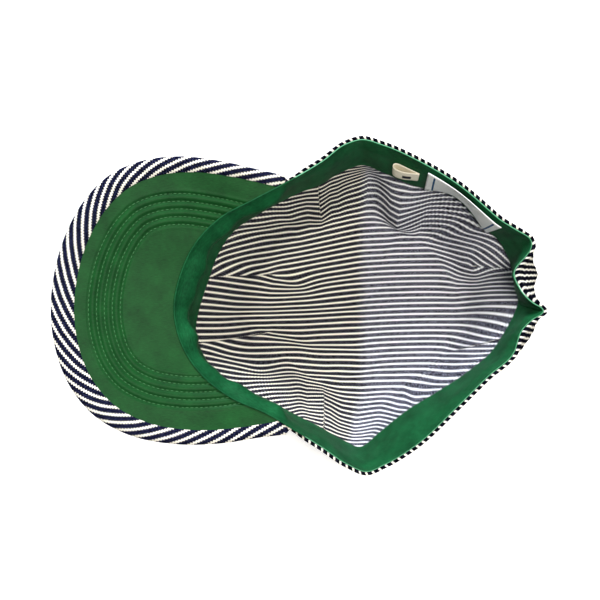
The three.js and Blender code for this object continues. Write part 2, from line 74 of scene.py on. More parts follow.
# Around the head opening, counter-clockwise from the back: the rim's outer edge, the seam where the
# sweatband's inner face meets the crown, and how far the gathered headband stands out below its top edge.
Station = namedtuple("Station", "rim_x rim_y rim_z seam_x seam_y bulge")
OPENING = {
    "back_tip": Station(136, -2.8, 70, 127.4, 1, 0.5),
    "tip_side": Station(126, 10, 70, 125.5, 10.5, 6),
    "notch": Station(122.6, 17.8, 70, 124.4, 18.4, 10),
    "corner_low": Station(127.4, 27, 71, 122.2, 26.8, 4),
    "corner": Station(128.6, 36, 72, 118, 35, 1),
    "back_left": Station(111.9, 50.6, 73, 107, 45.5, 0),
    "label_end": Station(89.9, 68.9, 74, 90, 63, 0),
    "label_start": Station(67.9, 82, 74, 66.5, 69.5, 0),
    "left_apex_back": Station(48.5, 90.6, 74, 49, 77, 0),
    "left_apex": Station(35.5, 93.8, 74, 37.3, 80.9, 0),
    "left_apex_front": Station(26, 91, 74, 26, 77, 0),
    "left_temple": Station(13, 81.5, 74, 14, 69.8, 0),
    "left_joint": Station(-2.5, 72.3, 74, 0.5, 64.4, 0),
    "brow_1": Station(-25.2, 60.3, 74, -23, 52, 0),
    "brow_2": Station(-42.3, 51.2, 73, -36, 43, 0),
    "brow_3": Station(-57, 36.8, 73, -45.5, 29, 0),
    "brow_4": Station(-66.3, 18, 72, -51, 14, 0),
    "front": Station(-70, -1, 72, -56.3, -3, 0),
    "brow_5": Station(-66, -21, 72, -57.5, -18, 0),
    "brow_6": Station(-54, -39.5, 73, -49, -35, 0),
    "brow_7": Station(-36.5, -53, 73, -33.5, -46, 0),
    "brow_8": Station(-18, -61, 74, -16, -54.5, 0),
    "right_joint": Station(-1, -71, 74, 2, -64, 0),
    "right_temple": Station(12, -79, 74, 13, -69.5, 0),
    "right_apex_front": Station(27, -89, 74, 27, -77.5, 0),
    "right_apex": Station(38.5, -93.4, 74, 37, -81.2, 0),
    "right_apex_back": Station(50, -89, 74, 47, -73.5, 0),
    "back_right_1": Station(67.9, -77.8, 74, 62, -61.5, 0),
    "back_right_2": Station(89.9, -57.2, 74, 81, -49.5, 0),
    "back_right_3": Station(107, -40.5, 73, 98.5, -38, 0),
    "back_right_4": Station(121.5, -27.5, 72, 112.5, -26, 2),
    "dip": Station(126, -15.5, 71, 119.5, -15.5, 6),
}

# The bill's outer edge, from the left joint round the front to the right joint.
Place = namedtuple("Place", "x y")
BILL_EDGE = {
    "left_end": Place(-7.5, 72.3),
    "left_1": Place(-20, 75),
    "left_2": Place(-42, 79.6),
    "left_3": Place(-63.5, 81.8),
    "left_4": Place(-84, 79.2),
    "left_5": Place(-101, 71.6),
    "left_6": Place(-114, 59),
    "front_left": Place(-125.3, 39.3),
    "front_1": Place(-132, 15.7),
    "front_2": Place(-133.5, -2),
    "front_3": Place(-131.6, -20.5),
    "front_right": Place(-124, -42),
    "right_6": Place(-110.8, -58.8),
    "right_5": Place(-91, -70.3),
    "right_4": Place(-68.5, -75.3),
    "right_3": Place(-42, -75.4),
    "right_2": Place(-20, -72.4),
    "right_end": Place(-6, -71),
}
BILL_JOINTS = {"left": Place(-5.5, 70.8), "right": Place(-4.2, -69.4)}
BILL_SLOPE = 0.2
BINDING_WIDTH = 13.0
BINDING_END_WIDTH = 1.8
BINDING_GAP = 0.7
LINING_LEAST = 1.0
BILL_REST_DEPTH = COVER_WALL / 2 + GAP + LINING_WALL + 1.0
HEADBAND_DROP = BILL_REST_DEPTH + COVER_WALL / 2 + 0.7
DROP_MARGIN = 2.0
DROP_RAMP = 10.0

# The crown's wall from the seam down to the floor it rests on: how far each section has gone from the seam
# towards the floor's edge, its height and its puff. Then the floor, from its edge in to its centre.
WallSection = namedtuple("WallSection", "share height puff")
WALL = {
    "seam": WallSection(0, SEAM_HEIGHT, 0),
    "shoulder": WallSection(0.24, 35, 1),
    "waist": WallSection(0.53, 22.5, 1.8),
    "foot": WallSection(0.79, 8.5, 1),
    "floor_edge": WallSection(1, 3.5, 0),
}
FloorSection = namedtuple("FloorSection", "share height")
FLOOR_SECTIONS = {
    "edge": FloorSection(0, 3.5),
    "roll": FloorSection(0.1, 1),
    "patch": FloorSection(0.2, 0),
    "patch_inner": FloorSection(0.6, 0),
    "centre": FloorSection(1, 0),
}
FLOOR_CENTRE = (40.0, -1.0)
FLOOR_HALF = (57.0, 51.0)

# The knife pleats that take up the crown's fullness, and the two ends of the crease across the crown,
# counter-clockwise from the back: where they meet the seam, and the angle round the floor's ellipse, in
# degrees, at which they reach it. lean is 1 where the cloth on the lower side of the pleat lies on top, -1
# where the cloth beyond it does, and 0 for the crease. pull is how far each stands in from the wall, over
# spread along it each way, deepest the share of the way down where it stands in most, and reach the share of
# the way down that its hidden cloth goes.
Line = namedtuple("Line", "x y floor lean pull spread deepest reach")
CROWN_LINES = {
    "back_left": Line(124, 22, 30, -1, 1.5, 8, 0.5, 0.62),
    "left_deep": Line(57, 74, 65, -1, 9, 19, 0.66, 1),
    "left_crease": Line(37, 81, 88, 0, -6.5, 16, 0.45, 1),
    "left_front": Line(12.5, 81.2, 115.5, 1, 2.5, 10, 0.6, 0.9),
    "front_left": Line(-66, 20, 157, 1, 1.5, 9, 0.5, 1),
    "front_right": Line(-63.7, -24.5, 197, -1, 1.5, 9, 0.5, 1),
    "right_front": Line(16.3, -82, 245, -1, 3, 10, 0.6, 1),
    "right_crease": Line(37, -81, 272, 0, -3, 14, 0.5, 1),
    "right_deep": Line(58, -65, 295, 1, 0.5, 8, 0.7, 1),
    "back_right": Line(121, -16, 325, -1, 1.5, 8, 0.5, 0.9),
}

# Labels sewn to the sweatband: where they start along it, their length, and between which shares of its
# height they lie.
Label = namedtuple("Label", "x y length low high")
WOVEN_LABEL = Label(75, 78, 51, 0.1, 0.98)
WOVEN_LABEL_PINCH = 0.32
SIZE_LABEL = Label(55.5, 87, 16.5, 0.36, 0.66)
SIZE_LABEL_LOOP = 3.2

# Cloth: the stripe's pitch, and how thick each cloth is.
STRIPE_PITCH = 3.37
TWILL_THICKNESS = 0.6
SATIN_THICKNESS = 0.3
TAPE_THICKNESS = 0.4


# Curves through the tables

def knots_along(points, closed):
    """Cumulative distance along a row of points, used as the parameter of every curve through them."""
    points = np.array(points, float)
    ahead = np.roll(points, -1, axis=0) if closed else points[1:]
    steps = np.linalg.norm(ahead - points[:len(ahead)], axis=1)
    return np.concatenate([[0.0], np.cumsum(steps)])


def smooth_curve(values, knots, closed=False):
    """Cubic pieces through values at knots, whose slopes come from the neighbours on each side."""
    values = np.array(values, float)
    knots = np.array(knots, float)
    spans = np.diff(knots)
    if closed:
        rises = (np.roll(values, -1) - values) / spans
        before = np.roll(rises, 1)
        span_before = np.roll(spans, 1)
        slopes = (before * spans + rises * span_before) / (span_before + spans)
    else:
        rises = np.diff(values) / spans
        inner = (rises[:-1] * spans[1:] + rises[1:] * spans[:-1]) / (spans[:-1] + spans[1:])
        slopes = np.concatenate([rises[:1], inner, rises[-1:]])

    def curve(t):
        place = np.mod(t, knots[-1]) if closed else np.clip(t, knots[0], knots[-1])
        i = np.clip(np.searchsorted(knots, place, side="right") - 1, 0, len(spans) - 1)
        u = (place - knots[i]) / spans[i]
        after = (i + 1) % len(values)
        rise = 1 - 3 * u * u + 2 * u ** 3
        turn = slopes[i] * u * (1 - u) ** 2 - slopes[after] * u * u * (1 - u)
        return values[i] * rise + values[after] * (1 - rise) + spans[i] * turn

    return curve


def curves_through(rows, knots, closed=False):
    """One smooth curve for each column of a table."""
    return [smooth_curve(column, knots, closed) for column in zip(*rows)]


def smooth_step(x, start, end):
    t = np.clip((x - start) / (end - start), 0, 1)
    return t * t * (3 - 2 * t)


def bump(x, centre, width):
    """A soft hill, 1 high at centre and fading out over width each way."""
    return np.exp(-((x - centre) / width) ** 2)


def path_length(points):
    """How far along a row of points each one lies."""
    return np.concatenate([[0.0], np.cumsum(np.linalg.norm(np.diff(points, axis=0), axis=1))])


rim_knots = knots_along([(row.rim_x, row.rim_y) for row in OPENING.values()], True)
RIM_LENGTH = rim_knots[-1]
RIM_STEPS = 1200
rim_x, rim_y, rim_z, seam_x, seam_y, rim_bulge = curves_through(OPENING.values(), rim_knots, True)


def rim(s):
    return np.stack([rim_x(s), rim_y(s)], -1)


def seam(s):
    return np.stack([seam_x(s), seam_y(s)], -1)


def outward(s):
    """The level direction out of the cap, smoothed so that sharp corners stay open."""
    along = rim(s + NORMAL_REACH) - rim(s - NORMAL_REACH)
    along = along / np.linalg.norm(along, axis=-1, keepdims=True)
    return np.stack([along[..., 1], -along[..., 0]], -1)


def moved_out(points, s, distance):
    """Points of the band moved level, out of the cap."""
    out = np.concatenate([outward(s), np.zeros(s.shape + (1,))], -1)
    return points + out * distance[..., None]


def band_point(s, share, depth):
    """A point in the band's wall, at a share of the way up from its seam and a depth in from outside."""
    s, share, depth = np.broadcast_arrays(s, share, depth)
    out = outward(s)
    top = rim(s) - out * depth[..., None]
    bottom = seam(s) + out * (BAND_DEPTH - depth)[..., None]
    plan = bottom + (top - bottom) * share[..., None]
    height = SEAM_HEIGHT + share * (rim_z(s) - SEAM_HEIGHT)
    return np.concatenate([plan, height[..., None]], -1)


def sweatband_depth(share):
    return SWEATBAND_TOP_DEPTH + SWEATBAND_LEAN * (1 - share)


def photo_place(u, v, height=RIM_HEIGHT):
    """The plan point at a height that a pixel of the photograph shows."""
    scale = RIM_SCALE * (RIM_HEIGHT + CAMERA_ABOVE_RIM - height) / CAMERA_ABOVE_RIM
    return np.array([scale * (u - PHOTO_CENTRE[0]), scale * (PHOTO_CENTRE[1] - v)])


def place_near(point, curve=rim):
    """The place along the rim at which the rim, or a curve beside it, is nearest to a point of the plan."""
    steps = np.linspace(0, RIM_LENGTH, RIM_STEPS, endpoint=False)
    away = np.linalg.norm(curve(steps) - np.array(point), axis=1)
    return steps[np.argmin(away)]


def around(s, place):
    """How far s lies from a place, the short way round the rim."""
    return np.mod(s - place + RIM_LENGTH / 2, RIM_LENGTH) - RIM_LENGTH / 2


def hill(s, place, width):
    """A soft hill at a place along the rim."""
    return bump(around(s, place), 0, width)


def in_part(points):
    """Points in metres in the part's own frame."""
    return (np.asarray(points) - MIDDLE) * MM


# Materials

def linear(colour):
    """An sRGB hex colour as linear RGBA."""
    channels = [int(colour[i:i + 2], 16) / 255 for i in (1, 3, 5)]
    return tuple(c / 12.92 if c <= 0.04045 else ((c + 0.055) / 1.055) ** 2.4 for c in channels) + (1.0,)


def fill(tree, node, inputs):
    """Sets or links a node's inputs, given by name or in the order of the sockets in use."""
    if isinstance(inputs, dict):
        sockets = [node.inputs[name] for name in inputs]
        inputs = inputs.values()
    else:
        sockets = [socket for socket in node.inputs if socket.enabled]
    for socket, value in zip(sockets, inputs):
        if isinstance(value, bpy.types.NodeSocket):
            tree.links.new(value, socket)
        else:
            socket.default_value = value


def add(tree, kind, inputs, **settings):
    """Adds one node with its settings and inputs, and gives its result."""
    node = tree.nodes.new("ShaderNode" + kind)
    for name, value in settings.items():
        setattr(node, name, value)
    fill(tree, node, inputs)
    return next(socket for socket in node.outputs if socket.enabled)


# How two colours are mixed: one over the other, or one shaded by a number.
OVER = {"data_type": "RGBA"}
SHADED = {"data_type": "RGBA", "blend_type": "MULTIPLY"}


def new_material(name):
    """A material with its shader, and the place on the flat cloth in millimetres, along and across."""
    material = bpy.data.materials.new(name)
    material.use_nodes = True
    tree = material.node_tree
    cloth = add(tree, "UVMap", [], uv_map="cloth")
    flat = add(tree, "VectorMath", [cloth, 1 / MM], operation="SCALE")
    along = add(tree, "SeparateXYZ", [flat])
    return material, tree, tree.nodes["Principled BSDF"], flat, along, along.node.outputs["Y"]


TOOTH_SPACING = 1.7
STRIPE_SOFTNESS = 0.06
TWILL_SLANT = 1.3
# Where the painted light on the hickory changes over, across the crown's crease.
CREASE_PLACE = 41.0
PAINTED_LIGHT_FROM = CREASE_PLACE - 6
PAINTED_LIGHT_TO = CREASE_PLACE + 4


# Hickory stripe is a cotton twill with groups of navy and ecru warp threads. Its stripes have small teeth
# where the diagonal of the twill crosses their edges, and the white weft shows as flecks in the navy. The
# teeth are drawn 1.7 mm apart, coarser than the real thread, so that they show. white is the white stripe's
# share of the pitch and tooth is how far the teeth reach. The last two arguments paint light across the
# crown's crease: the first makes the flecks show more in the cloth behind it, painted light that makes the
# navy paler on that side, and the second is a warmer white in front of it, a painted warm light.
def hickory_twill(name, navy, fleck, ecru, fleck_share, pitch=STRIPE_PITCH, white=0.32, tooth=0.9, painted_light_flecks=0.0,
                  painted_warm_light_ecru=None):
    material, tree, shader, flat, along, across = new_material(name)
    half_tooth = TOOTH_SPACING / 2
    half_pitch = pitch / 2

    saw = add(tree, "Math", [along, half_tooth], operation="PINGPONG")
    shift = add(tree, "Math", [saw, tooth / half_tooth, -tooth / 2], operation="MULTIPLY_ADD")
    shifted = add(tree, "Math", [across, shift], operation="ADD")
    stripe = add(tree, "Math", [shifted, half_pitch], operation="PINGPONG")
    edge = [half_pitch * (white + STRIPE_SOFTNESS), half_pitch * (white - STRIPE_SOFTNESS)]
    near_white = add(tree, "MapRange", [stripe, *edge], interpolation_type="SMOOTHSTEP")

    slant = add(tree, "Math", [across, TWILL_SLANT], operation="MULTIPLY")
    diagonal = add(tree, "Math", [along, slant], operation="ADD")
    rib = add(tree, "Math", [diagonal, half_tooth], operation="PINGPONG")
    rib_height = add(tree, "Math", [rib, 1 / half_tooth], operation="MULTIPLY")

    grain = add(tree, "TexNoise", {"Vector": flat, "Scale": 1.15, "Detail": 2.0, "Roughness": 0.7})
    speckle = add(tree, "Math", [grain, 4.5, -1.75], operation="MULTIPLY_ADD", use_clamp=True)
    ribbed = add(tree, "Math", [rib_height, speckle], operation="MULTIPLY")
    # Painted light: behind the crease the flecks show more, which paints the navy paler there.
    behind = add(tree, "MapRange", [along, PAINTED_LIGHT_FROM, PAINTED_LIGHT_TO], interpolation_type="SMOOTHSTEP")
    share = add(tree, "Math", [behind, painted_light_flecks, fleck_share], operation="MULTIPLY_ADD")
    strength = add(tree, "Math", [share, 2.4], operation="MULTIPLY")
    flecks = add(tree, "Math", [ribbed, strength], operation="MULTIPLY", use_clamp=True)
    flecked = add(tree, "Mix", [flecks, linear(navy), linear(fleck)], **OVER)

    blotch = add(tree, "TexNoise", {"Vector": flat, "Scale": 0.11, "Detail": 2.0})
    worn = add(tree, "Math", [blotch, 0.5, 0.74], operation="MULTIPLY_ADD")
    dark = add(tree, "Mix", [1.0, flecked, worn], **SHADED)
    # Painted warm light: the white is warmer in front of the crease.
    white_cloth = add(tree, "Mix", [behind, linear(painted_warm_light_ecru or ecru), linear(ecru)], **OVER)
    thread = add(tree, "Math", [grain, 0.16, 0.9], operation="MULTIPLY_ADD")
    light = add(tree, "Mix", [1.0, white_cloth, thread], **SHADED)
    colour = add(tree, "Mix", [near_white, dark, light], **OVER)

    low_ribs = add(tree, "Math", [rib_height, 0.6], operation="MULTIPLY")
    height = add(tree, "Math", [near_white, 0.5, low_ribs], operation="MULTIPLY_ADD")
    relief = add(tree, "Bump", {"Strength": 0.45, "Distance": 0.00025, "Height": height})
    fill(tree, shader, {"Base Color": colour, "Normal": relief, "Roughness": 0.92, "IOR": 1.5,
                        "Specular IOR Level": 0.0})
    return material


# Where the satin's painted highlight lies on its rolled top edge, and the line's offset and half width.
SATIN_EDGE = 30.25
NO_EDGE = 999.0
HIGHLIGHT_OFFSET = 0.4
HIGHLIGHT_HALF_WIDTH = 0.55


# Cotton satin: smooth long floats with a low sheen, dyed green. It takes soft creases and a slight slub.
# It is paler along a line at edge_at across the cloth, a painted highlight where its rolled top edge
# catches the light, except from bare[0] to bare[1].
def cotton_satin(name, deep, bright, edge, edge_at, bare=(0.0, 0.0)):
    material, tree, shader, flat, along, across = new_material(name)
    stretched = add(tree, "Mapping", {"Vector": flat, "Scale": (0.35, 2.2, 1.0)})
    slub = add(tree, "TexNoise", {"Vector": stretched, "Scale": 1.2, "Detail": 4.0, "Roughness": 0.6})
    cloud = add(tree, "TexNoise", {"Vector": flat, "Scale": 0.09, "Detail": 3.0})
    slub_part = add(tree, "Math", [slub, 0.55], operation="MULTIPLY")
    cloud_part = add(tree, "Math", [cloud, 0.45], operation="MULTIPLY")
    cloudy = add(tree, "Math", [slub_part, cloud_part], operation="ADD")
    tone = add(tree, "MapRange", [cloudy, 0.32, 0.68])
    body = add(tree, "Mix", [tone, linear(deep), linear(bright)], **OVER)
    # A painted highlight: a pale line where the rolled top edge catches the light, left off between the bare
    # places.
    at_edge = add(tree, "Math", [across, edge_at + HIGHLIGHT_OFFSET, HIGHLIGHT_HALF_WIDTH], operation="COMPARE")
    bare_middle, bare_half = (bare[0] + bare[1]) / 2, (bare[1] - bare[0]) / 2
    left_bare = add(tree, "Math", [along, bare_middle, bare_half], operation="COMPARE")
    painted_highlight = add(tree, "Math", [at_edge, left_bare], operation="SUBTRACT", use_clamp=True)
    colour = add(tree, "Mix", [painted_highlight, body, linear(edge)], **OVER)
    relief = add(tree, "Bump", {"Strength": 0.3, "Distance": 0.0002, "Height": slub})
    fill(tree, shader, {"Base Color": colour, "Normal": relief, "Roughness": 0.5, "IOR": 1.5,
                        "Specular IOR Level": 0.12})
    return material


# Woven label tape: fine white polyester, with a plain coloured line woven across it at each of some places.
def woven_tape(name, ground, line, line_places, line_width, line_span):
    material, tree, shader, flat, along, across = new_material(name)
    weave = add(tree, "TexNoise", {"Vector": flat, "Scale": 2.5, "Detail": 2.0})
    shade = add(tree, "Math", [weave, 0.2, 0.88], operation="MULTIPLY_ADD")
    body = add(tree, "Mix", [1.0, linear(ground), shade], **SHADED)
    inked = None
    for place in line_places:
        near = add(tree, "Math", [along, place, line_width / 2], operation="COMPARE")
        inked = near if inked is None else add(tree, "Math", [inked, near], operation="MAXIMUM")
    span_middle, span_half = sum(line_span) / 2, (line_span[1] - line_span[0]) / 2
    inside = add(tree, "Math", [across, span_middle, span_half], operation="COMPARE")
    inked = add(tree, "Math", [inked, inside], operation="MULTIPLY")
    colour = add(tree, "Mix", [inked, body, linear(line)], **OVER)
    relief = add(tree, "Bump", {"Strength": 0.3, "Distance": 0.0001, "Height": weave})
    fill(tree, shader, {"Base Color": colour, "Normal": relief, "Roughness": 0.6, "Specular IOR Level": 0.3})
    return material


# Sewing thread: spun polyester, a soft fuzzy lustre.
def sewing_thread(name, colour):
    material, tree, shader, flat, _, _ = new_material(name)
    ply = add(tree, "TexNoise", {"Vector": flat, "Scale": 3.0, "Detail": 2.0})
    shade = add(tree, "Math", [ply, 0.3, 0.85], operation="MULTIPLY_ADD")
    body = add(tree, "Mix", [1.0, linear(colour), shade], **SHADED)
    fill(tree, shader, {"Base Color": body, "Roughness": 0.6, "Specular IOR Level": 0.3})
    return material


# Sheets of cloth

def make_sheet(name, points, cloth, materials, thickness, ring=False, turned=False):
    """A sheet of cloth from rows and columns of points, with the place of each on the flat cloth.

    The face that shows has the first material, and the thickness goes behind it. turned puts the face on
    the other side, and ring joins the last column to the first.
    """
    bpy.ops.object.select_all(action="DESELECT")
    rows, columns = points.shape[0] - 1, points.shape[1] - 1
    bpy.ops.mesh.primitive_grid_add(x_subdivisions=columns, y_subdivisions=rows, size=1)
    piece = bpy.context.object
    piece.name = name
    mesh = piece.data
    mesh.name = name
    flat = np.empty(len(mesh.vertices) * 3)
    mesh.vertices.foreach_get("co", flat)
    flat = flat.reshape(-1, 3)
    column = np.rint((flat[:, 0] + 0.5) * columns).astype(int)
    row = np.rint((flat[:, 1] + 0.5) * rows).astype(int)
    mesh.vertices.foreach_set("co", in_part(points[row, column]).ravel())
    corners = np.empty(len(mesh.loops), int)
    mesh.loops.foreach_get("vertex_index", corners)
    layer = mesh.uv_layers[0]
    layer.name = "cloth"
    layer.data.foreach_set("uv", (cloth[row, column][corners] * MM).ravel())
    for material in materials:
        mesh.materials.append(material)
    bpy.ops.object.mode_set(mode="EDIT")
    bpy.ops.mesh.select_all(action="SELECT")
    if turned:
        bpy.ops.mesh.flip_normals()
    if ring:
        bpy.ops.mesh.remove_doubles(threshold=1e-6)
    bpy.ops.object.mode_set(mode="OBJECT")
    bpy.ops.object.shade_smooth()
    wall = piece.modifiers.new("thickness", "SOLIDIFY")
    wall.thickness = thickness * MM
    wall.offset = -1
    wall.material_offset = len(materials) - 1
    wall.material_offset_rim = len(materials) - 1
    bpy.ops.object.modifier_apply(modifier=wall.name)
    return piece


def seat(piece, node):
    """Puts a sheet in place of its node, whose part it hides, on the root body."""
    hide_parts(node)
    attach(piece, "root")


# The crown

line_places = np.array([place_near((row.x, row.y)) for row in CROWN_LINES.values()])
pleats = {name: row for name, row in CROWN_LINES.items() if row.lean}
pleat_names = list(pleats)
pleat_places = np.array([place_near((row.x, row.y)) for row in pleats.values()])
CLOTH_INSET = 0.25
CROWN_FACE_DEPTH = CROWN_DEPTH + CROWN_WALL - CLOTH_INSET
LAYER_GAP = 0.62
PLEAT_EASE = 14.0
LAYERS_OVER = 2.0
PUFF_SHARE = 0.9
PUFF_PLACE = 3.5
PUFF_WIDTH = 4.0
COLUMN_STEP = 1.4
WALL_END = 4.0
FLOOR_END = 8.0
CAUGHT_DRAW = 0.12
PLEAT_FAN = 22.0

wall_share, wall_height, wall_puff = curves_through(WALL.values(), np.arange(len(WALL)))
floor_knots, floor_heights = zip(*FLOOR_SECTIONS.values())
floor_height = smooth_curve(floor_heights, floor_knots)


def even_turn(s):
    return 2 * math.pi * s / RIM_LENGTH


floor_lead = smooth_curve(
    [math.radians(row.floor) - even_turn(place) for row, place in zip(CROWN_LINES.values(), line_places)],
    np.append(line_places - line_places[0], RIM_LENGTH), True,
)


def floor_angle(s):
    """The angle on the floor's ellipse under a place along the rim."""
    return even_turn(s) + floor_lead(s - line_places[0])


def floor_edge(angle, out=0.0):
    """A point of the floor's edge, or so far out from it on the flat cloth."""
    cos, sin = np.cos(angle), np.sin(angle)
    edge = np.stack([FLOOR_CENTRE[0] + FLOOR_HALF[0] * cos, FLOOR_CENTRE[1] + FLOOR_HALF[1] * sin], -1)
    normal = np.stack([FLOOR_HALF[1] * cos, FLOOR_HALF[0] * sin], -1)
    normal = normal / np.linalg.norm(normal, axis=-1, keepdims=True)
    return edge + normal * np.asarray(out)[..., None]


def fold_pull(s, t):
    """How far the lines' soft folds pull the wall in (or push it out), sharpest at the line."""
    down = t / WALL_END
    moved = 0
    for row, place in zip(CROWN_LINES.values(), line_places):
        fade = smooth_step(down, 0, row.deepest) * (1 - smooth_step(down, row.deepest, 1.08))
        ridge = np.maximum(0, 1 - np.abs(around(s, place)) / row.spread)
        moved = moved + row.pull * ridge * fade
    return moved


def crown_face(s, t):
    """The crown's inner face. t is -1 at its caught edge, 0 at the seam and 8 at the floor's centre."""
    s, t = np.broadcast_arrays(s, t)
    caught = band_point(s, TUCK_SHARE * np.clip(-t, 0, 1), CROWN_FACE_DEPTH)
    centre = np.array(FLOOR_CENTRE)
    edge = floor_edge(floor_angle(s))
    on_wall = np.clip(t, 0, WALL_END)
    top = caught[..., :2]
    plan = top + (edge - top) * wall_share(on_wall)[..., None]
    plan = plan + outward(s) * (wall_puff(on_wall) - fold_pull(s, on_wall))[..., None]
    height = np.where(t < 0, caught[..., 2], wall_height(on_wall)) + TWILL_THICKNESS * on_wall / WALL_END
    in_share = np.clip((t - WALL_END) / (FLOOR_END - WALL_END), 0, 1)
    floor = edge + (centre - edge) * in_share[..., None]
    on_floor = (t > WALL_END)[..., None]
    plan = np.where(on_floor, floor, plan)
    height = np.where(on_floor[..., 0], floor_height(in_share) + TWILL_THICKNESS, height)
    points = np.concatenate([plan, height[..., None]], -1)
    return points + crown_relief(s, t, points)


# Soft wrinkles across the crown, from one pixel of the photograph to another: how far each rises, how wide
# it is, and how far it draws the stripes on its two sides together.
SoftFold = namedtuple("SoftFold", "u1 v1 u2 v2 rise width squeeze")
SOFT_FOLDS = {
    "left_pleat_tail": SoftFold(266, 275, 294, 287, 0.8, 4.0, 1.6),
    "left_pleat_end": SoftFold(294, 287, 345, 280, 0.4, 4.0, 1.0),
    "right_pleat_tail": SoftFold(268, 333, 300, 345, 0.8, 3.6, 2.2),
    "right_pleat_end": SoftFold(300, 345, 350, 351, 0.5, 4.0, 1.4),
    "middle_fold": SoftFold(240, 313, 345, 311, 0.4, 4.0, 1.4),
    "left_foot": SoftFold(242, 234, 290, 225.5, 0.7, 2.0, 1.2),
    "left_foot_back": SoftFold(290, 225.5, 321, 222.5, 0.6, 2.0, 1.3),
    "right_foot": SoftFold(259, 373, 322, 377, 0.7, 3.6, 2.2),
    "right_foot_front": SoftFold(228, 356, 259, 373, 0.5, 4.0, 1.2),
    "crease_pucker": SoftFold(352, 378, 372, 371, 0.5, 3.5, 1.0),
    "back_left_tail": SoftFold(463, 260, 459, 288, 0.6, 4.0, 1.6),
    "back_right_tail": SoftFold(497, 333, 456, 351, 0.6, 4.0, 1.4),
    "left_deep_tail": SoftFold(402, 226, 392, 245, 0.8, 4.5, 0.6),
}
WRINKLE_HEIGHT = 6.0
WRINKLE_FADE = 2.2


def soft_folds(plan, squeezed):
    """The rise of the wrinkles at points of the plan, or how far they move the cloth under them."""
    total = 0
    for row in SOFT_FOLDS.values():
        start = photo_place(row.u1, row.v1, WRINKLE_HEIGHT)
        end = photo_place(row.u2, row.v2, WRINKLE_HEIGHT)
        length = np.linalg.norm(end - start)
        along = (end - start) / length
        side = np.array([-along[1], along[0]])
        run = (plan - start) @ along
        away = (plan - start) @ side / row.width
        beyond = np.maximum(0, np.maximum(-run, run - length)) / (WRINKLE_FADE * row.width)
        if squeezed:
            amount = row.squeeze * away * math.copysign(1, side[1]) * np.exp(-np.abs(away))
        else:
            amount = row.rise * np.exp(-away ** 2)
        total = total + amount * np.exp(-beyond ** 2)
    return total


# Where the stripes dip sideways at the end of a pleat, as pixels of the photograph: by how many millimetres,
# and over how far along the stripes and across them.
Dip = namedtuple("Dip", "u v across reach_along reach_across")
DIPS = {
    "back_left": Dip(468, 275, 3.6, 7.5, 7.5),
    "front_left": Dip(294, 287, 2.6, 12.0, 7.5),
}


def dips(plan):
    total = 0
    for row in DIPS.values():
        x, y = photo_place(row.u, row.v, WRINKLE_HEIGHT)
        hollow = bump(plan[..., 0], x, row.reach_along) * bump(plan[..., 1], y, row.reach_across)
        total = total + row.across * hollow
    return total


# The press crease across the crown's floor, bowed to the back in the middle, and how far the floor lifts off
# the table in front of it and behind it.
CREASE_X = 40
CREASE_BOW = 4
CREASE_BOW_WIDTH = 50
LIFT_REACH = 60
FRONT_LIFT = 2.6
BACK_LIFT = 1.2


def crown_relief(s, t, points):
    """The crease, the wrinkles and a slight ripple of the wall, as moves of the crown's points."""
    x, y = points[..., 0], points[..., 1]
    crease_x = CREASE_X + CREASE_BOW * np.cos(y / CREASE_BOW_WIDTH)
    in_front = FRONT_LIFT * np.clip((crease_x - x) / LIFT_REACH, 0, 1) ** 1.2
    behind = BACK_LIFT * np.clip((x - crease_x) / LIFT_REACH, 0, 1) ** 1.5
    on_floor = smooth_step(t, WALL_END, 4.8) * smooth_step(t, 4.2, 5.5)
    on_wall = smooth_step(t, 0, 1) * (1 - smooth_step(t, 3.2, 4.4))
    ripple = 0.5 * np.sin(x / 9.0 + 0.8 * np.sin(y / 17.0)) + 0.4 * np.sin(y / 7.5 + x / 23.0)
    moves = np.zeros_like(points)
    wrinkles = smooth_step(t, 1.0, 2.5) * soft_folds(points[..., :2], False)
    moves[..., 2] = on_floor * (in_front + behind) + wrinkles
    moves[..., :2] = outward(s) * (on_wall * ripple)[..., None]
    return moves


def crown_rows():
    caught = np.array([-1.0, -0.5])
    wall = np.linspace(0, WALL_END, 45)
    floor = WALL_END + (FLOOR_END - WALL_END) * np.linspace(0, 1, 33)[1:] ** 0.9
    return np.concatenate([caught, wall, floor])


# A pleat's hidden cloth, from its edge under the top layer and back: how much of the hidden cloth has gone
# by, how far back under the top layer it lies, and in which layer.
FoldStep = namedtuple("FoldStep", "path back layer")
FOLD = [
    FoldStep(0.02, -0.02, 0.3),
    FoldStep(0.06, 0.0, 0.8),
    FoldStep(0.2, 0.28, 1.0),
    FoldStep(0.36, 0.62, 1.0),
    FoldStep(0.47, 0.95, 1.1),
    FoldStep(0.5, 1.0, 1.5),
    FoldStep(0.53, 0.95, 1.9),
    FoldStep(0.66, 0.65, 2.0),
    FoldStep(0.82, 0.3, 2.0),
]


def arc_from_edge(points, rows):
    """How far each point lies from the floor's edge along its column, outwards."""
    steps = np.linalg.norm(np.diff(points, axis=0), axis=-1)
    travelled = np.concatenate([np.zeros((1, points.shape[1])), np.cumsum(steps, axis=0)])
    edge_row = int(np.argmin(np.abs(rows - WALL_END)))
    return travelled[edge_row] - travelled


def unrolled(angle, out, in_share):
    """A column's place on the flat cloth: out from the floor's edge on the wall, or in towards the centre."""
    walls = floor_edge(angle, np.maximum(out, 0))
    floor = floor_edge(angle) * (1 - in_share[..., None]) + np.array(FLOOR_CENTRE) * in_share[..., None]
    return np.where((out >= 0)[..., None], walls, floor)


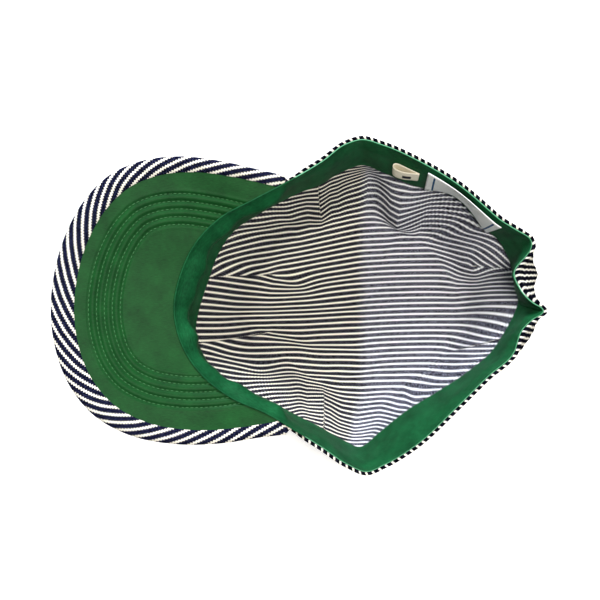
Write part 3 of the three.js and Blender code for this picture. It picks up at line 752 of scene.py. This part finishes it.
# How the gathered cloth meets the seam, counter-clockwise from the back: at a pixel of the seam, the
# distance across the stripes from the one through the middle of the crown, before and after each pleat.
SeamCloth = namedtuple("SeamCloth", "u v before after")
SEAM_CLOTH = {
    "back_left": SeamCloth(511, 264, 19, 43),
    "label_back": SeamCloth(490, 233, 55, 55),
    "label_middle": SeamCloth(470, 219, 59, 59),
    "label_front": SeamCloth(452, 196, 71, 71),
    "label_start": SeamCloth(410, 184, 82, 82),
    "left_deep": SeamCloth(392, 176, 82, 82),
    "left_apex_back": SeamCloth(380, 172, 87, 87),
    "left_apex": SeamCloth(363, 167, 99, 99),
    "left_apex_front": SeamCloth(345, 174, 94, 94),
    "left_front": SeamCloth(320, 187, 90, 87),
    "brow_1": SeamCloth(297, 195, 82.3, 82.3),
    "brow_2": SeamCloth(284, 201.5, 79, 79),
    "brow_3": SeamCloth(269, 211, 72.2, 72.2),
    "brow_4": SeamCloth(245, 223.5, 64, 64),
    "brow_5": SeamCloth(227, 241, 55.4, 55.4),
    "brow_6": SeamCloth(217, 263, 45.2, 45.2),
    "front_left": SeamCloth(207, 279, 38, 15),
    "front": SeamCloth(205, 306, -0.5, -0.5),
    "front_right": SeamCloth(207, 343, -22, -35),
    "brow_7": SeamCloth(215, 366, -49.5, -49.5),
    "brow_8": SeamCloth(245, 386, -61.5, -61.5),
    "brow_9": SeamCloth(290, 412, -84, -84),
    "brow_10": SeamCloth(305, 419, -95, -95),
    "right_front": SeamCloth(326, 425, -101, -98),
    "right_apex_front": SeamCloth(345, 438, -101, -101),
    "right_apex": SeamCloth(363, 447, -104.5, -104.5),
    "right_apex_back": SeamCloth(378, 438, -93, -93),
    "right_behind_1": SeamCloth(388, 430, -85, -85),
    "right_behind_2": SeamCloth(393, 424, -80, -80),
    "right_deep": SeamCloth(401, 414, -72, -72),
    "back_right_1": SeamCloth(410, 409, -67, -67),
    "back_right_2": SeamCloth(425, 398, -61, -61),
    "back_right_3": SeamCloth(440, 389, -56, -56),
    "back_right_4": SeamCloth(455, 378, -49, -49),
    "back_right_5": SeamCloth(470, 366, -44, -44),
    "back_right_6": SeamCloth(490, 352, -35, -35),
    "back_right_7": SeamCloth(497, 347, -30, -30),
    "back_right": SeamCloth(503, 335, -23, -19),
    "back": SeamCloth(510, 300, -1, -1),
}


def cloth_between(k):
    """The curve of the cloth's place at the seam between two pleats, over the distance from the first."""
    names = list(SEAM_CLOTH)
    following = (k + 1) % len(pleats)
    first, last = pleat_names[k], pleat_names[following]
    start, end = names.index(first), names.index(last)
    between = [names[i % len(names)] for i in range(start + 1, end if end > start else end + len(names))]
    knots = [0.0]
    values = [SEAM_CLOTH[first].after]
    for row in (SEAM_CLOTH[name] for name in between):
        place = place_near(photo_place(row.u, row.v, SEAM_HEIGHT), seam)
        knots.append(np.mod(place - pleat_places[k], RIM_LENGTH))
        values.append(row.before)
    knots.append(np.mod(pleat_places[following] - pleat_places[k], RIM_LENGTH))
    values.append(SEAM_CLOTH[last].before)
    return smooth_curve(values, knots)


# The stripe through the middle of the floor sways a little to the wearer's left towards the back, and in
# front of the crease the stripes close up, because the cloth is drawn together to the front.
SWAY_MIDDLE = 2
SWAY = 3.2
SWAY_FROM = 25
SWAY_REACH = 35
DRAWN_REACH = 44
DRAWN_MOST = 1.25
DRAWN_TOGETHER = 0.155


def across_floor(plan):
    """The distance across the stripes over the floor."""
    x, y = plan[..., 0], plan[..., 1]
    middle_stripe = SWAY_MIDDLE + SWAY * np.tanh((x - SWAY_FROM) / SWAY_REACH)
    forward = np.clip((CREASE_X - x) / DRAWN_REACH, 0, DRAWN_MOST)
    return (y - middle_stripe) * (1 + DRAWN_TOGETHER * forward ** 1.3)


def sector_cloth(k, s, base, rows, in_share):
    """Each point's place on the flat cloth, between two pleats: unrolled, then drawn sideways to the seam."""
    out = arc_from_edge(base, rows)
    level = np.broadcast_to(floor_angle(s), out.shape)
    flat = unrolled(level, out, np.broadcast_to(in_share[:, None], out.shape))
    on_edge = across_floor(floor_edge(floor_angle(s)))
    drawn = cloth_between(k)(s - pleat_places[k]) - on_edge
    up = 1 - wall_share(np.clip(rows, 0, WALL_END)) + CAUGHT_DRAW * np.maximum(0, -rows)
    following = pleat_names[(k + 1) % len(pleats)]
    moved = 0
    for name, away, side in ((pleat_names[k], s - s[0], 0.5), (following, s[-1] - s, -0.5)):
        hidden = SEAM_CLOTH[name].after - SEAM_CLOTH[name].before
        local = side * hidden * (1 - smooth_step(away, 0, PLEAT_FAN))
        reach = pleats[name].reach
        drawn = drawn - local
        moved = moved + local * np.clip((up[:, None] - 1 + reach) / reach, 0, None)
    walled = on_edge + drawn * up[:, None] + moved
    across = np.where(out > 0, walled, across_floor(flat))
    across = across + soft_folds(base[..., :2], True) + dips(base[..., :2])
    return np.stack([flat[..., 0], across], -1)


def pleat_fold(place, lean, lap, gap, before, after, t):
    """A pleat's hidden cloth from one side to the other, with its places between before and after."""
    path, back, layer = np.array(FOLD).T
    if lean < 0:
        path, back, layer = 1 - path[::-1], back[::-1], layer[::-1]
    s = place - lean * back[None, :] * (lap * smooth_step(lap, 0.5, 3.0))[:, None]
    points = crown_face(s, t) + face_normal(s, t) * (layer[None, :] * gap[:, None])[..., None]
    share = path[None, :, None]
    return points, before[:, None] * (1 - share) + after[:, None] * share


def lapped(away, gap, under):
    """How far the cloth beside a pleat moves out under its fold, or puffs in on top of it."""
    if under:
        return gap[:, None] * LAYERS_OVER * (1 - smooth_step(away, 0, PLEAT_EASE))
    return gap[:, None] * -PUFF_SHARE * bump(away, PUFF_PLACE, PUFF_WIDTH)


def crown_grid():
    """The points of the crown's inner face and their places on the flat cloth, pleat by pleat."""
    rows = crown_rows()
    t = rows[:, None]
    in_share = np.clip((rows - WALL_END) / (FLOOR_END - WALL_END), 0, 1)
    ends = np.append(pleat_places, pleat_places[0] + RIM_LENGTH)
    sectors = []
    for k, (start, end) in enumerate(zip(ends[:-1], ends[1:])):
        columns = max(4, round((end - start) / COLUMN_STEP))
        s = np.linspace(start, end, columns + 1)
        base = crown_face(s[None, :], t)
        sectors.append((s, base, sector_cloth(k, s, base, rows, in_share)))
    leans = [row.lean for row in pleats.values()]
    flats = [flat for _, _, flat in sectors]
    laps = [np.linalg.norm(flats[k][:, 0] - flats[k - 1][:, -1], axis=-1) / 2 for k in range(len(sectors))]
    gaps = [LAYER_GAP * smooth_step(lap, 0.3, 3.0) for lap in laps]
    blocks = []
    cloths = []
    for k, (s, base, flat) in enumerate(sectors):
        fold = pleat_fold(pleat_places[k], leans[k], laps[k], gaps[k], flats[k - 1][:, -1], flat[:, 0], t)
        following = (k + 1) % len(sectors)
        moved = lapped(s - s[0], gaps[k], leans[k] > 0)
        moved = moved + lapped(s[-1] - s, gaps[following], leans[following] < 0)
        blocks += [fold[0], base + face_normal(s[None, :], t) * moved[..., None]]
        cloths += [fold[1], flat]
    points = np.concatenate(blocks + [blocks[0][:, :1]], axis=1)
    flat = np.concatenate(cloths + [cloths[0][:, :1]], axis=1)
    points[..., 2] = np.maximum(points[..., 2], TWILL_THICKNESS)
    return points, flat


def face_normal(s, t):
    """The unit normal of the crown's face, out of the cap."""
    reach_s, reach_t = 0.6, 0.05
    t = np.minimum(t, FLOOR_END - 0.2)
    along = crown_face(s + reach_s, t) - crown_face(s - reach_s, t)
    down = crown_face(s, t + reach_t) - crown_face(s, t - reach_t)
    normal = np.cross(down, along)
    normal = normal / np.maximum(np.linalg.norm(normal, axis=-1, keepdims=True), 1e-9)
    facing_in = np.sum(normal[..., :2] * outward(s + 0 * t), axis=-1) - normal[..., 2] < 0
    return np.where(facing_in[..., None], -normal, normal)


def make_crown(inside, outside):
    points, flat = crown_grid()
    crown = make_sheet("crown_cloth", points, flat, [inside, outside], TWILL_THICKNESS, ring=True)
    seat(crown, "crown")


# The band: a folded striped headband outside, and a green sweatband inside

BAND_COLUMNS = 420
BAND_RUN = 30
BAND_DENSITY = 0.82
band_places = np.linspace(0, RIM_LENGTH, BAND_COLUMNS + 1)
BILL_FROM = place_near(BILL_JOINTS["left"])
BILL_TO = place_near(BILL_JOINTS["right"])
NOTCH_PLACE = place_near(photo_place(514, 266))
DIP_PLACE = place_near(photo_place(523, 332))
CORNER_PLACE = place_near(photo_place(532, 245))
CORNER_PUSH = 3.5
TIP_PLACE = place_near(photo_place(540, 311))
TIP_PUSH = 3.0
HEADBAND_ROLL = 0.55
HEADBAND_FOLDED = HEADBAND_WALL - 0.5
HEADBAND_GATHER = 0.35
SWEATBAND_GATHER = 0.4
SATIN_LEAN_OUT = 0.9
SATIN_SINK = 0.35


def headband_drop(s):
    s = np.mod(s, RIM_LENGTH)
    starts = smooth_step(s, BILL_FROM - DROP_MARGIN - DROP_RAMP, BILL_FROM - DROP_MARGIN)
    ends = smooth_step(s, BILL_TO + DROP_MARGIN, BILL_TO + DROP_MARGIN + DROP_RAMP)
    return HEADBAND_DROP * starts * (1 - ends)


def gathered_out(s, share):
    """How far back the gathered headband stands out below its top edge."""
    return np.maximum(0, rim_bulge(s)) * np.sin(math.pi * np.clip(share, 0, 1) ** 1.6)


def corner_push(s):
    """The sharp corner of the rim beside the notch, and the tip at the back, stand out a little more."""
    return CORNER_PUSH * hill(s, CORNER_PLACE, 7.0) + TIP_PUSH * hill(s, TIP_PLACE, 4.5)


def gather(s):
    """Soft upright puckers where elastic draws the back of the band in."""
    near = hill(s, NOTCH_PLACE, 18) + hill(s, DIP_PLACE, 16)
    return near * (np.sin(s / 0.9) + 0.5 * np.sin(s / 0.53 + 1.0))


# A band's section: its share of the way up the band, how deep it lies in it, and how far along the cloth.
BandStep = namedtuple("BandStep", "share depth run")


def columns_of(steps):
    """The columns of a row of steps, each as one column of numbers."""
    return [np.array(column)[:, None] for column in zip(*steps)]


def stripes_round():
    """How far across the stripes each place of the headband lies. A whole number of stripes goes round."""
    crowded = 0.1 * hill(band_places, NOTCH_PLACE, 10) + 0.15 * hill(band_places, DIP_PLACE, 10)
    across = np.cumsum(BAND_DENSITY + crowded) * (RIM_LENGTH / BAND_COLUMNS)
    whole = round(across[-1] / STRIPE_PITCH) * STRIPE_PITCH
    return (across - across[0]) * whole / (across[-1] - across[0])


def make_headband(outside, inside):
    """One folded strip: up the inside a little way, over the top edge, down the outer face and in below."""
    wall = HEADBAND_FOLDED
    steps = [BandStep(0.62, wall, -12), BandStep(0.8, wall, -7), BandStep(0.94, wall, -2.6)]
    for turn in np.linspace(0, math.pi, 7):
        steps.append(BandStep(1.0, wall / 2 + wall / 2 * math.cos(turn), -0.9 + 0.3 * turn))
    for share in np.linspace(0.97, 0.0, 15):
        steps.append(BandStep(share, 0.0, (1 - share) * BAND_RUN + 0.5))
    steps += [BandStep(0.0, 1.0, 32), BandStep(0.02, 1.6, 34)]
    share, depth, run = columns_of(steps)
    s = band_places[None, :]
    height = rim_z(s) - SEAM_HEIGHT
    top = 1 - headband_drop(s) / height
    shoulder = top - HEADBAND_ROLL / height
    across = np.clip((depth - wall / 2) / (wall / 2), -1, 1)
    roll = HEADBAND_ROLL * np.sqrt(np.maximum(0, 1 - across ** 2))
    share = np.where(np.isclose(share, 1.0), shoulder + roll / height, np.minimum(share * top, shoulder))
    outer = (depth < wall * 0.6) * 1.0
    moved = outer * HEADBAND_GATHER * gather(s) * share + corner_push(s) * np.clip(share, 0, 1)
    points = moved_out(band_point(s, share, depth), s, moved)
    points[..., 0] += outer * gathered_out(s, share)
    flat = np.stack(np.broadcast_arrays(run, stripes_round()[None, :]), -1)
    headband = make_sheet("headband_cloth", points, flat, [outside, inside], TWILL_THICKNESS, True, True)
    seat(headband, "headband")


# Where the sweatband's satin is pushed into soft dents and swells, as pixels of the photograph: how far
# it swells inwards (or sinks), over what length of the band and about what share of its height.
Swell = namedtuple("Swell", "u v inward reach share spread")
SWELLS = {
    "brow_roll": Swell(186, 262, 2.6, 9, 0.6, 0.3),
    "brow_dent": Swell(192, 250, -1.6, 5, 0.35, 0.3),
    "front_swell": Swell(184, 296, 2.2, 8, 0.5, 0.3),
    "front_dent": Swell(186, 322, -1.6, 5, 0.4, 0.35),
    "low_swell": Swell(190, 340, 3.2, 5, 0.4, 0.35),
    "low_dent": Swell(200, 358, -1.8, 5, 0.35, 0.35),
    "low_roll": Swell(214, 374, 2.6, 6, 0.5, 0.3),
    "right_swell": Swell(250, 405, 1.2, 10, 0.5, 0.4),
    "apex_dent": Swell(358, 140, -1.5, 4, 0.5, 0.6),
    "apex_swell": Swell(372, 140, 1.0, 7, 0.5, 0.5),
    "temple_swell": Swell(330, 155, 1.2, 10, 0.5, 0.4),
    "temple_dent": Swell(300, 172, -1.0, 7, 0.5, 0.4),
    "corner_dent": Swell(522, 236, -1.4, 5, 0.5, 0.5),
    "back_swell": Swell(505, 340, 1.4, 6, 0.5, 0.4),
    "back_dent": Swell(520, 325, -1.2, 4, 0.5, 0.4),
    "lower_swell": Swell(430, 440, 0.8, 16, 0.5, 0.4),
}


def satin_swell(s, share):
    over_bill = smooth_step(s, BILL_FROM, BILL_FROM + 12) * (1 - smooth_step(s, BILL_TO - 12, BILL_TO))
    rolled = 4.2 + 0.7 * np.sin(s / 6.3) + 0.6 * np.sin(s / 3.9 + 1.0)
    moved = 0.25 * np.sin(s / 8.5 + 2.0 * share) + 0.18 * np.sin(s / 4.7 - 3.0 * share)
    moved = moved + over_bill * rolled * smooth_step(share, 0.55, 0.72) * (1 - smooth_step(share, 0.8, 1.0))
    for row in SWELLS.values():
        place = place_near(photo_place(row.u, row.v))
        moved = moved + row.inward * hill(s, place, row.reach) * bump(share, row.share, row.spread)
    return moved * smooth_step(share, -0.1, 0.25) * (1 - smooth_step(share, 0.9, 1.0))


def make_sweatband(satin):
    """Satin, hemmed at its lower edge, up the inner face and rolled over at the rim."""
    steps = [BandStep(0.16, 0.0, -6), BandStep(0.05, 0.0, -2.2)]
    for turn in np.linspace(0, math.pi, 6)[1:-1]:
        steps.append(BandStep(-0.012 * math.sin(turn), 0.5 - 0.5 * math.cos(turn), -1.4 + 0.4 * turn))
    for share in np.linspace(0.02, 0.96, 22):
        steps.append(BandStep(share, 1.0, share * BAND_RUN))
    for turn in np.linspace(0, math.pi, 9):
        steps.append(BandStep(0.98 + 0.02 * math.sin(turn), 0.5 + 0.5 * math.cos(turn), 29.4 + 0.5 * turn))
    steps += [BandStep(0.93, 0.0, 32.5), BandStep(0.86, 0.0, 34.5)]
    share, wall, run = columns_of(steps)
    s = band_places[None, :]
    lean_out = SATIN_LEAN_OUT * smooth_step(share, 0.7, 0.97)
    points = band_point(s, share, sweatband_depth(np.clip(share, 0, 1)) + SWEATBAND_WALL * wall - lean_out)
    face = wall > 0.9
    swollen = np.maximum(satin_swell(s, share), -SATIN_SINK)
    puckered = face * swollen + SWEATBAND_GATHER * gather(s) * face * share
    points = moved_out(points, s, corner_push(s) * np.clip(share, 0, 1) - puckered)
    flat = np.stack(np.broadcast_arrays(s, run), -1)
    sweatband = make_sheet("sweatband_satin", points, flat, [satin], SATIN_THICKNESS, True, True)
    seat(sweatband, "sweatband")


# The bill

edge_knots = knots_along(list(BILL_EDGE.values()), False)
EDGE_LENGTH = edge_knots[-1]
edge_x, edge_y = curves_through(BILL_EDGE.values(), edge_knots)
BILL_COLUMNS = 260
bill_places = np.linspace(0, 1, BILL_COLUMNS + 1)
edge_shares = np.linspace(0, 1, 1201)
edge_points = np.stack([edge_x(edge_shares * EDGE_LENGTH), edge_y(edge_shares * EDGE_LENGTH)], -1)


def bill_widths(u):
    """The bill's width along each rule, and how far its binding reaches in."""
    s = BILL_FROM + u * (BILL_TO - BILL_FROM)
    inner = rim(s) + outward(s) * (GAP - SWEATBAND_TOP_DEPTH)
    outer = np.stack([edge_x(u * EDGE_LENGTH), edge_y(u * EDGE_LENGTH)], -1)
    width = np.linalg.norm(inner - outer, axis=-1)
    binding = np.minimum(BINDING_WIDTH, np.maximum(BINDING_END_WIDTH, width - BINDING_GAP))
    return inner, outer, width, binding


def bill_point(u, e, lift):
    """A point of the bill, e in from its outer edge along a rule and lift above the middle of its cover."""
    u, e, lift = np.broadcast_arrays(u, e, lift)
    inner, outer, width, _ = bill_widths(u)
    plan = outer + (inner - outer) * (e / width)[..., None]
    base = rim_z(BILL_FROM + u * (BILL_TO - BILL_FROM)) - BILL_REST_DEPTH
    height = base + BILL_SLOPE * (width - e) + lift
    return np.concatenate([plan, height[..., None]], -1)


def from_edge(plan):
    """How far plan points lie along the bill's outer edge, and in from it."""
    points = plan.reshape(-1, 2)
    nearest = np.array([np.argmin(np.hypot(edge_points[:, 0] - x, edge_points[:, 1] - y)) for x, y in points])
    away = np.linalg.norm(points - edge_points[nearest], axis=1)
    return (edge_shares[nearest] * EDGE_LENGTH).reshape(plan.shape[:-1]), away.reshape(plan.shape[:-1])


def make_bill_upper(outside, inside):
    """The striped cover over its hidden board, as one thick sheet under the lining."""
    u = bill_places[None, :]
    _, _, width, _ = bill_widths(u)
    start = BINDING_WALL + GAP
    points = bill_point(u, start + (width - start) * np.linspace(0, 1, 15)[:, None], COVER_WALL / 2)
    cover = make_sheet("bill_cover", points, points[..., :2], [inside, outside], COVER_WALL)
    seat(cover, "bill_upper")


STITCH_ROWS = 5
STITCH_FIRST = 7.1
STITCH_SPACING = 4.2
STITCH_LAST = STITCH_FIRST + (STITCH_ROWS - 1) * STITCH_SPACING
STITCH_LENGTH = 2.0
STITCH_GAP = 0.6
STITCH_RADIUS = 0.24
STITCH_FLATNESS = 0.8
STITCH_LIFT = 0.08
STITCH_MOST_RISE = 1.5
RIDGE_HEIGHT = 1.2
RIDGE_FADE = 3
UNDER_BINDING = 1.2


def make_bill_lining(satin):
    """The satin under the bill, puffed into ridges between its rows of stitches."""
    _, _, width, binding = bill_widths(bill_places)
    u = bill_places[width - binding > LINING_LEAST][None, :]
    _, _, width, binding = bill_widths(u)
    start = binding - UNDER_BINDING
    top = COVER_WALL / 2 + GAP + LINING_WALL - 0.1
    points = bill_point(u, start + (width - start) * np.linspace(0, 1, 61)[:, None], top)
    inside = from_edge(points[..., :2])[1] - BINDING_WIDTH
    starts = smooth_step(inside, STITCH_FIRST - RIDGE_FADE, STITCH_FIRST)
    within = starts * (1 - smooth_step(inside, STITCH_LAST, STITCH_LAST + RIDGE_FADE))
    ridge = np.abs(np.sin(math.pi * (inside - STITCH_FIRST) / STITCH_SPACING)) ** 0.6
    points[..., 2] += RIDGE_HEIGHT * within * (ridge - 0.8) - 0.1 * (1 - within)
    lining = make_sheet("bill_lining_satin", points, points[..., :2], [satin], SATIN_THICKNESS)
    seat(lining, "bill_lining")
    return lining


# The binding is cut on the bias, at this angle to its stripes, and wraps the bill's edge at EDGE_RUN across
# it. It narrows at its ends.
BIAS_ANGLE = math.radians(26.0)
BIAS_PITCH = 4.5
EDGE_RUN = 15.0
BINDING_STEPS = 35

# The binding's section, from its edge on the lining round to its edge on the cover: its share of the way in
# from the bill's edge, its lift, and how far along the cloth it is.
BindingStep = namedtuple("BindingStep", "share lift run")
BINDING_SECTION = [
    BindingStep(1.0, 1.75, 0.0),
    BindingStep(0.985, 2.3, 0.7),
    BindingStep(0.93, 2.75, 1.6),
    BindingStep(0.8, 3.15, 3.3),
    BindingStep(0.62, 3.4, 5.7),
    BindingStep(0.44, 3.45, 8.0),
    BindingStep(0.28, 3.2, 10.1),
    BindingStep(0.14, 2.6, 12.0),
    BindingStep(0.04, 1.6, 13.6),
    BindingStep(0.0, 0.3, 15.0),
    BindingStep(0.02, -1.1, 16.4),
    BindingStep(0.1, -2.2, 18.0),
    BindingStep(0.26, -2.8, 20.1),
    BindingStep(0.5, -2.95, 23.3),
    BindingStep(0.76, -2.8, 26.7),
    BindingStep(0.93, -2.4, 28.9),
    BindingStep(0.99, -1.9, 29.9),
    BindingStep(1.0, -1.6, 30.4),
]


def section_curves(steps, count):
    """The columns of a section's steps, each at a number of even places along it."""
    places = np.linspace(0, len(steps) - 1, count)
    return [curve(places) for curve in curves_through(steps, np.arange(len(steps)))]


def make_binding(outside, inside):
    share, lift, run = (column[:, None] for column in section_curves(BINDING_SECTION, BINDING_STEPS))
    u = bill_places[None, :]
    binding = bill_widths(u)[3]
    pucker = 0.22 * np.sin(u * EDGE_LENGTH / 1.6 + 3 * share) + 0.15 * np.sin(u * EDGE_LENGTH / 3.7)
    thin = np.clip(binding / BINDING_WIDTH, 0.35, 1)
    height = lift * thin + pucker * np.sin(math.pi * share) ** 2 * thin
    points = bill_point(u, np.clip(share, 0, 1) * binding, height)
    along, away = from_edge(points[..., :2])
    down = EDGE_RUN + np.where(run < EDGE_RUN, -away, away) * EDGE_RUN / BINDING_WIDTH
    flat = np.stack([
        along * math.cos(BIAS_ANGLE) - down * math.sin(BIAS_ANGLE),
        along * math.sin(BIAS_ANGLE) + down * math.cos(BIAS_ANGLE),
    ], -1)
    edging = make_sheet("binding_cloth", points, flat, [outside, inside], TWILL_THICKNESS, turned=True)
    seat(edging, "bill_binding")


# Labels

def make_woven_label(tape):
    """A label sewn down at its top and its two ends, wavy and drawn up in between."""
    start = place_near((WOVEN_LABEL.x, WOVEN_LABEL.y))
    along = np.linspace(0, WOVEN_LABEL.length, 49)[None, :]
    down = np.linspace(0, 1, 13)[:, None]
    low = WOVEN_LABEL.low + WOVEN_LABEL_PINCH * np.sin(math.pi * along / WOVEN_LABEL.length) ** 1.5
    share = low + (WOVEN_LABEL.high - low) * down
    wave = 0.5 + 0.45 * np.sin(along / 6.0 + 0.6) * np.sin(math.pi * down)
    depth = sweatband_depth(share) + SWEATBAND_WALL + GAP + LABEL_WALL + wave
    points = band_point(start - along, share, depth)
    flat = np.stack(np.broadcast_arrays(along, share * BAND_RUN), -1)
    label = make_sheet("woven_tape", points, flat, [tape], TAPE_THICKNESS, turned=True)
    seat(label, "woven_label")


# The small label's loop, seen from above: its share of the way along the band, and how deep it stands in.
LoopStep = namedtuple("LoopStep", "along deep")
LOOP = [
    LoopStep(1.0, 0.02),
    LoopStep(0.6, 0.0),
    LoopStep(0.3, 0.0),
    LoopStep(0.1, 0.06),
    LoopStep(0.0, 0.4),
    LoopStep(0.04, 0.8),
    LoopStep(0.2, 1.0),
    LoopStep(0.5, 0.85),
    LoopStep(0.8, 0.45),
    LoopStep(1.0, 0.22),
]
LOOP_COLUMNS = 46


def make_size_label(tape):
    """A strip folded on itself, whose two layers lie on the band at one end and open into a loop."""
    along, deep = section_curves(LOOP, LOOP_COLUMNS)
    share = np.linspace(SIZE_LABEL.low, SIZE_LABEL.high, 9)[:, None]
    place = place_near((SIZE_LABEL.x, SIZE_LABEL.y)) - along[None, :] * SIZE_LABEL.length
    depth = sweatband_depth(share) + SWEATBAND_WALL + GAP + deep[None, :] * (SIZE_LABEL_LOOP + LABEL_WALL)
    points = band_point(place, share, depth)
    run = path_length(points[len(points) // 2])[None, :]
    flat = np.stack(np.broadcast_arrays(run, share * BAND_RUN), -1)
    label = make_sheet("size_tape", points, flat, [tape], TAPE_THICKNESS)
    seat(label, "size_label")


# Stitches

def stitch_ends(lining):
    """The two ends of every stitch, in rows parallel to the bill's edge, seated on the lining from above."""
    surface = BVHTree.FromObject(lining, bpy.context.evaluated_depsgraph_get())
    tangent = np.gradient(edge_points, axis=0)
    tangent = tangent / np.linalg.norm(tangent, axis=1, keepdims=True)
    inward = np.stack([-tangent[:, 1], tangent[:, 0]], -1)
    ends = []
    for row in range(STITCH_ROWS):
        offset = BINDING_WIDTH + STITCH_FIRST + row * STITCH_SPACING
        line = edge_points + inward * offset
        line = line[from_edge(line)[1] > offset - 0.1]
        travelled = path_length(line)
        for start in np.arange(0, travelled[-1] - STITCH_LENGTH, STITCH_LENGTH + STITCH_GAP):
            pair = []
            for at in (start, start + STITCH_LENGTH):
                x, y = np.interp(at, travelled, line[:, 0]), np.interp(at, travelled, line[:, 1])
                hit = surface.ray_cast(Vector(in_part([x, y, 1 / MM])), Vector((0, 0, -1)))[0]
                if hit is not None:
                    pair.append((x, y, hit.z / MM + STITCH_LIFT))
            if len(pair) == 2 and abs(pair[0][2] - pair[1][2]) < STITCH_MOST_RISE:
                ends.append(pair)
    return np.array(ends)


def make_stitches(lining, thread):
    """Short plump stitches as one mesh, each a small ball drawn out from one end to the other."""
    bpy.ops.object.select_all(action="DESELECT")
    ends = stitch_ends(lining)
    bpy.ops.mesh.primitive_uv_sphere_add(segments=6, ring_count=4, radius=1)
    ball = bpy.context.object
    shape = np.array([tuple(v.co) for v in ball.data.vertices])
    faces = [tuple(p.vertices) for p in ball.data.polygons]
    bpy.data.objects.remove(ball)
    run = (ends[:, 1] - ends[:, 0]) / 2
    side = np.cross(run, [0.0, 0.0, 1.0])
    side = side / np.linalg.norm(side, axis=1, keepdims=True)
    up = np.cross(side, run / np.linalg.norm(run, axis=1, keepdims=True))
    axes = np.stack([run, side * STITCH_RADIUS, up * STITCH_RADIUS * STITCH_FLATNESS], 1)
    points = in_part(ends.mean(axis=1)[:, None] + shape @ axes).reshape(-1, 3)
    joined = [tuple(i + k * len(shape) for i in face) for k in range(len(ends)) for face in faces]
    mesh = bpy.data.meshes.new("lining_stitches")
    mesh.from_pydata(points.tolist(), [], joined)
    stitches = bpy.data.objects.new("lining_stitches", mesh)
    bpy.context.scene.collection.objects.link(stitches)
    layer = mesh.uv_layers.new(name="cloth")
    corners = np.empty(len(mesh.loops), int)
    mesh.loops.foreach_get("vertex_index", corners)
    layer.data.foreach_set("uv", points[corners][:, :2].ravel())
    mesh.materials.append(thread)
    for face in mesh.polygons:
        face.use_smooth = True
    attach(stitches, "root")


# Camera, floor and light

PHOTO_MIDDLE = (300, 300)


def make_camera():
    lens = bpy.data.cameras.new("camera")
    lens.sensor_fit = "HORIZONTAL"
    lens.angle = 2 * math.atan(HALF_VIEW / CAMERA_ABOVE_RIM)
    camera = bpy.data.objects.new("camera", lens)
    bpy.context.scene.collection.objects.link(camera)
    camera.location = in_part([*photo_place(*PHOTO_MIDDLE), RIM_HEIGHT + CAMERA_ABOVE_RIM])
    bpy.context.scene.camera = camera


def make_stage():
    """A wide white floor that shines a little of itself, as the photograph's bare background does."""
    bpy.ops.object.select_all(action="DESELECT")
    bpy.ops.mesh.primitive_plane_add(size=6)
    floor = bpy.context.object
    floor.name = "floor"
    material = bpy.data.materials.new("painted_paper")
    material.use_nodes = True
    tree = material.node_tree
    fill(tree, tree.nodes["Principled BSDF"], {
        "Base Color": linear("#f4f4f3"), "Roughness": 0.9, "Specular IOR Level": 0.1,
        "Emission Color": linear("#ffffff"), "Emission Strength": 0.35,
    })
    floor.data.materials.append(material)


CAP_MIDDLE = (0, 0, 0.05)


def add_light(name, place, size, power, colour):
    """A square soft light at a place in metres, turned to the middle of the cap."""
    lamp = bpy.data.lights.new(name, "AREA")
    lamp.size = size
    lamp.energy = power
    lamp.color = linear(colour)[:3]
    light = bpy.data.objects.new(name, lamp)
    light.location = place
    light.rotation_euler = (Vector(CAP_MIDDLE) - light.location).to_track_quat("-Z", "Y").to_euler()
    bpy.context.scene.collection.objects.link(light)


def make_light():
    world = bpy.data.worlds.new("room")
    bpy.context.scene.world = world
    world.use_nodes = True
    fill(world.node_tree, world.node_tree.nodes["Background"], {"Color": linear("#ffffff"), "Strength": 0.17})
    add_light("window", (-0.3, 1.15, 0.7), 0.5, 21.0, "#f0f5ff")
    add_light("lamp", (0.2, 0.0, 1.35), 0.4, 13.5, "#fffaf4")
    bpy.context.scene.view_settings.view_transform = "Standard"
    bpy.context.scene.view_settings.look = "Medium High Contrast"


make_camera()
make_stage()
make_light()

twill_face = hickory_twill("hickory_twill_face", "#030409", "#5a5e7c", "#efece0", 0.1)
# The reverse face carries painted light across the crown's crease: paler navy behind it, warmer white in
# front.
twill_back = hickory_twill("hickory_twill_back", "#08070a", "#b2b3c8", "#fdfdff", 0.15, tooth=0.6,
                           painted_light_flecks=0.28, painted_warm_light_ecru="#fcf7e8")
twill_bias = hickory_twill("hickory_twill_bias", "#03040c", "#5d6396", "#efece0", 0.2, BIAS_PITCH, 0.34)
# The pale line along the sweatband's top edge is a painted highlight, left off over the bill; the lining gets
# none.
over_bill = (BILL_FROM - 4, BILL_TO + 9)
satin = cotton_satin("green_cotton_satin", "#103f26", "#236c43", "#6fb08c", SATIN_EDGE, over_bill)
lining_satin = cotton_satin("green_lining_satin", "#133c1d", "#1f5a2c", "#1f5a2c", NO_EDGE)
label_tape = woven_tape("label_tape", "#ffffff", "#2f5f8c", (4.5, 47.0), 1.1, (4.0, 27.0))
size_tape = woven_tape("size_tape", "#f3ecd9", "#1a1b24", (26.5,), 5.0, (12.5, 15.5))
green_thread = sewing_thread("green_thread", "#467a4e")

make_crown(twill_back, twill_face)
make_headband(twill_face, twill_back)
make_sweatband(satin)
make_bill_upper(twill_face, twill_back)
lining = make_bill_lining(lining_satin)
make_binding(twill_bias, twill_back)
make_woven_label(label_tape)
make_size_label(size_tape)
make_stitches(lining, green_thread)
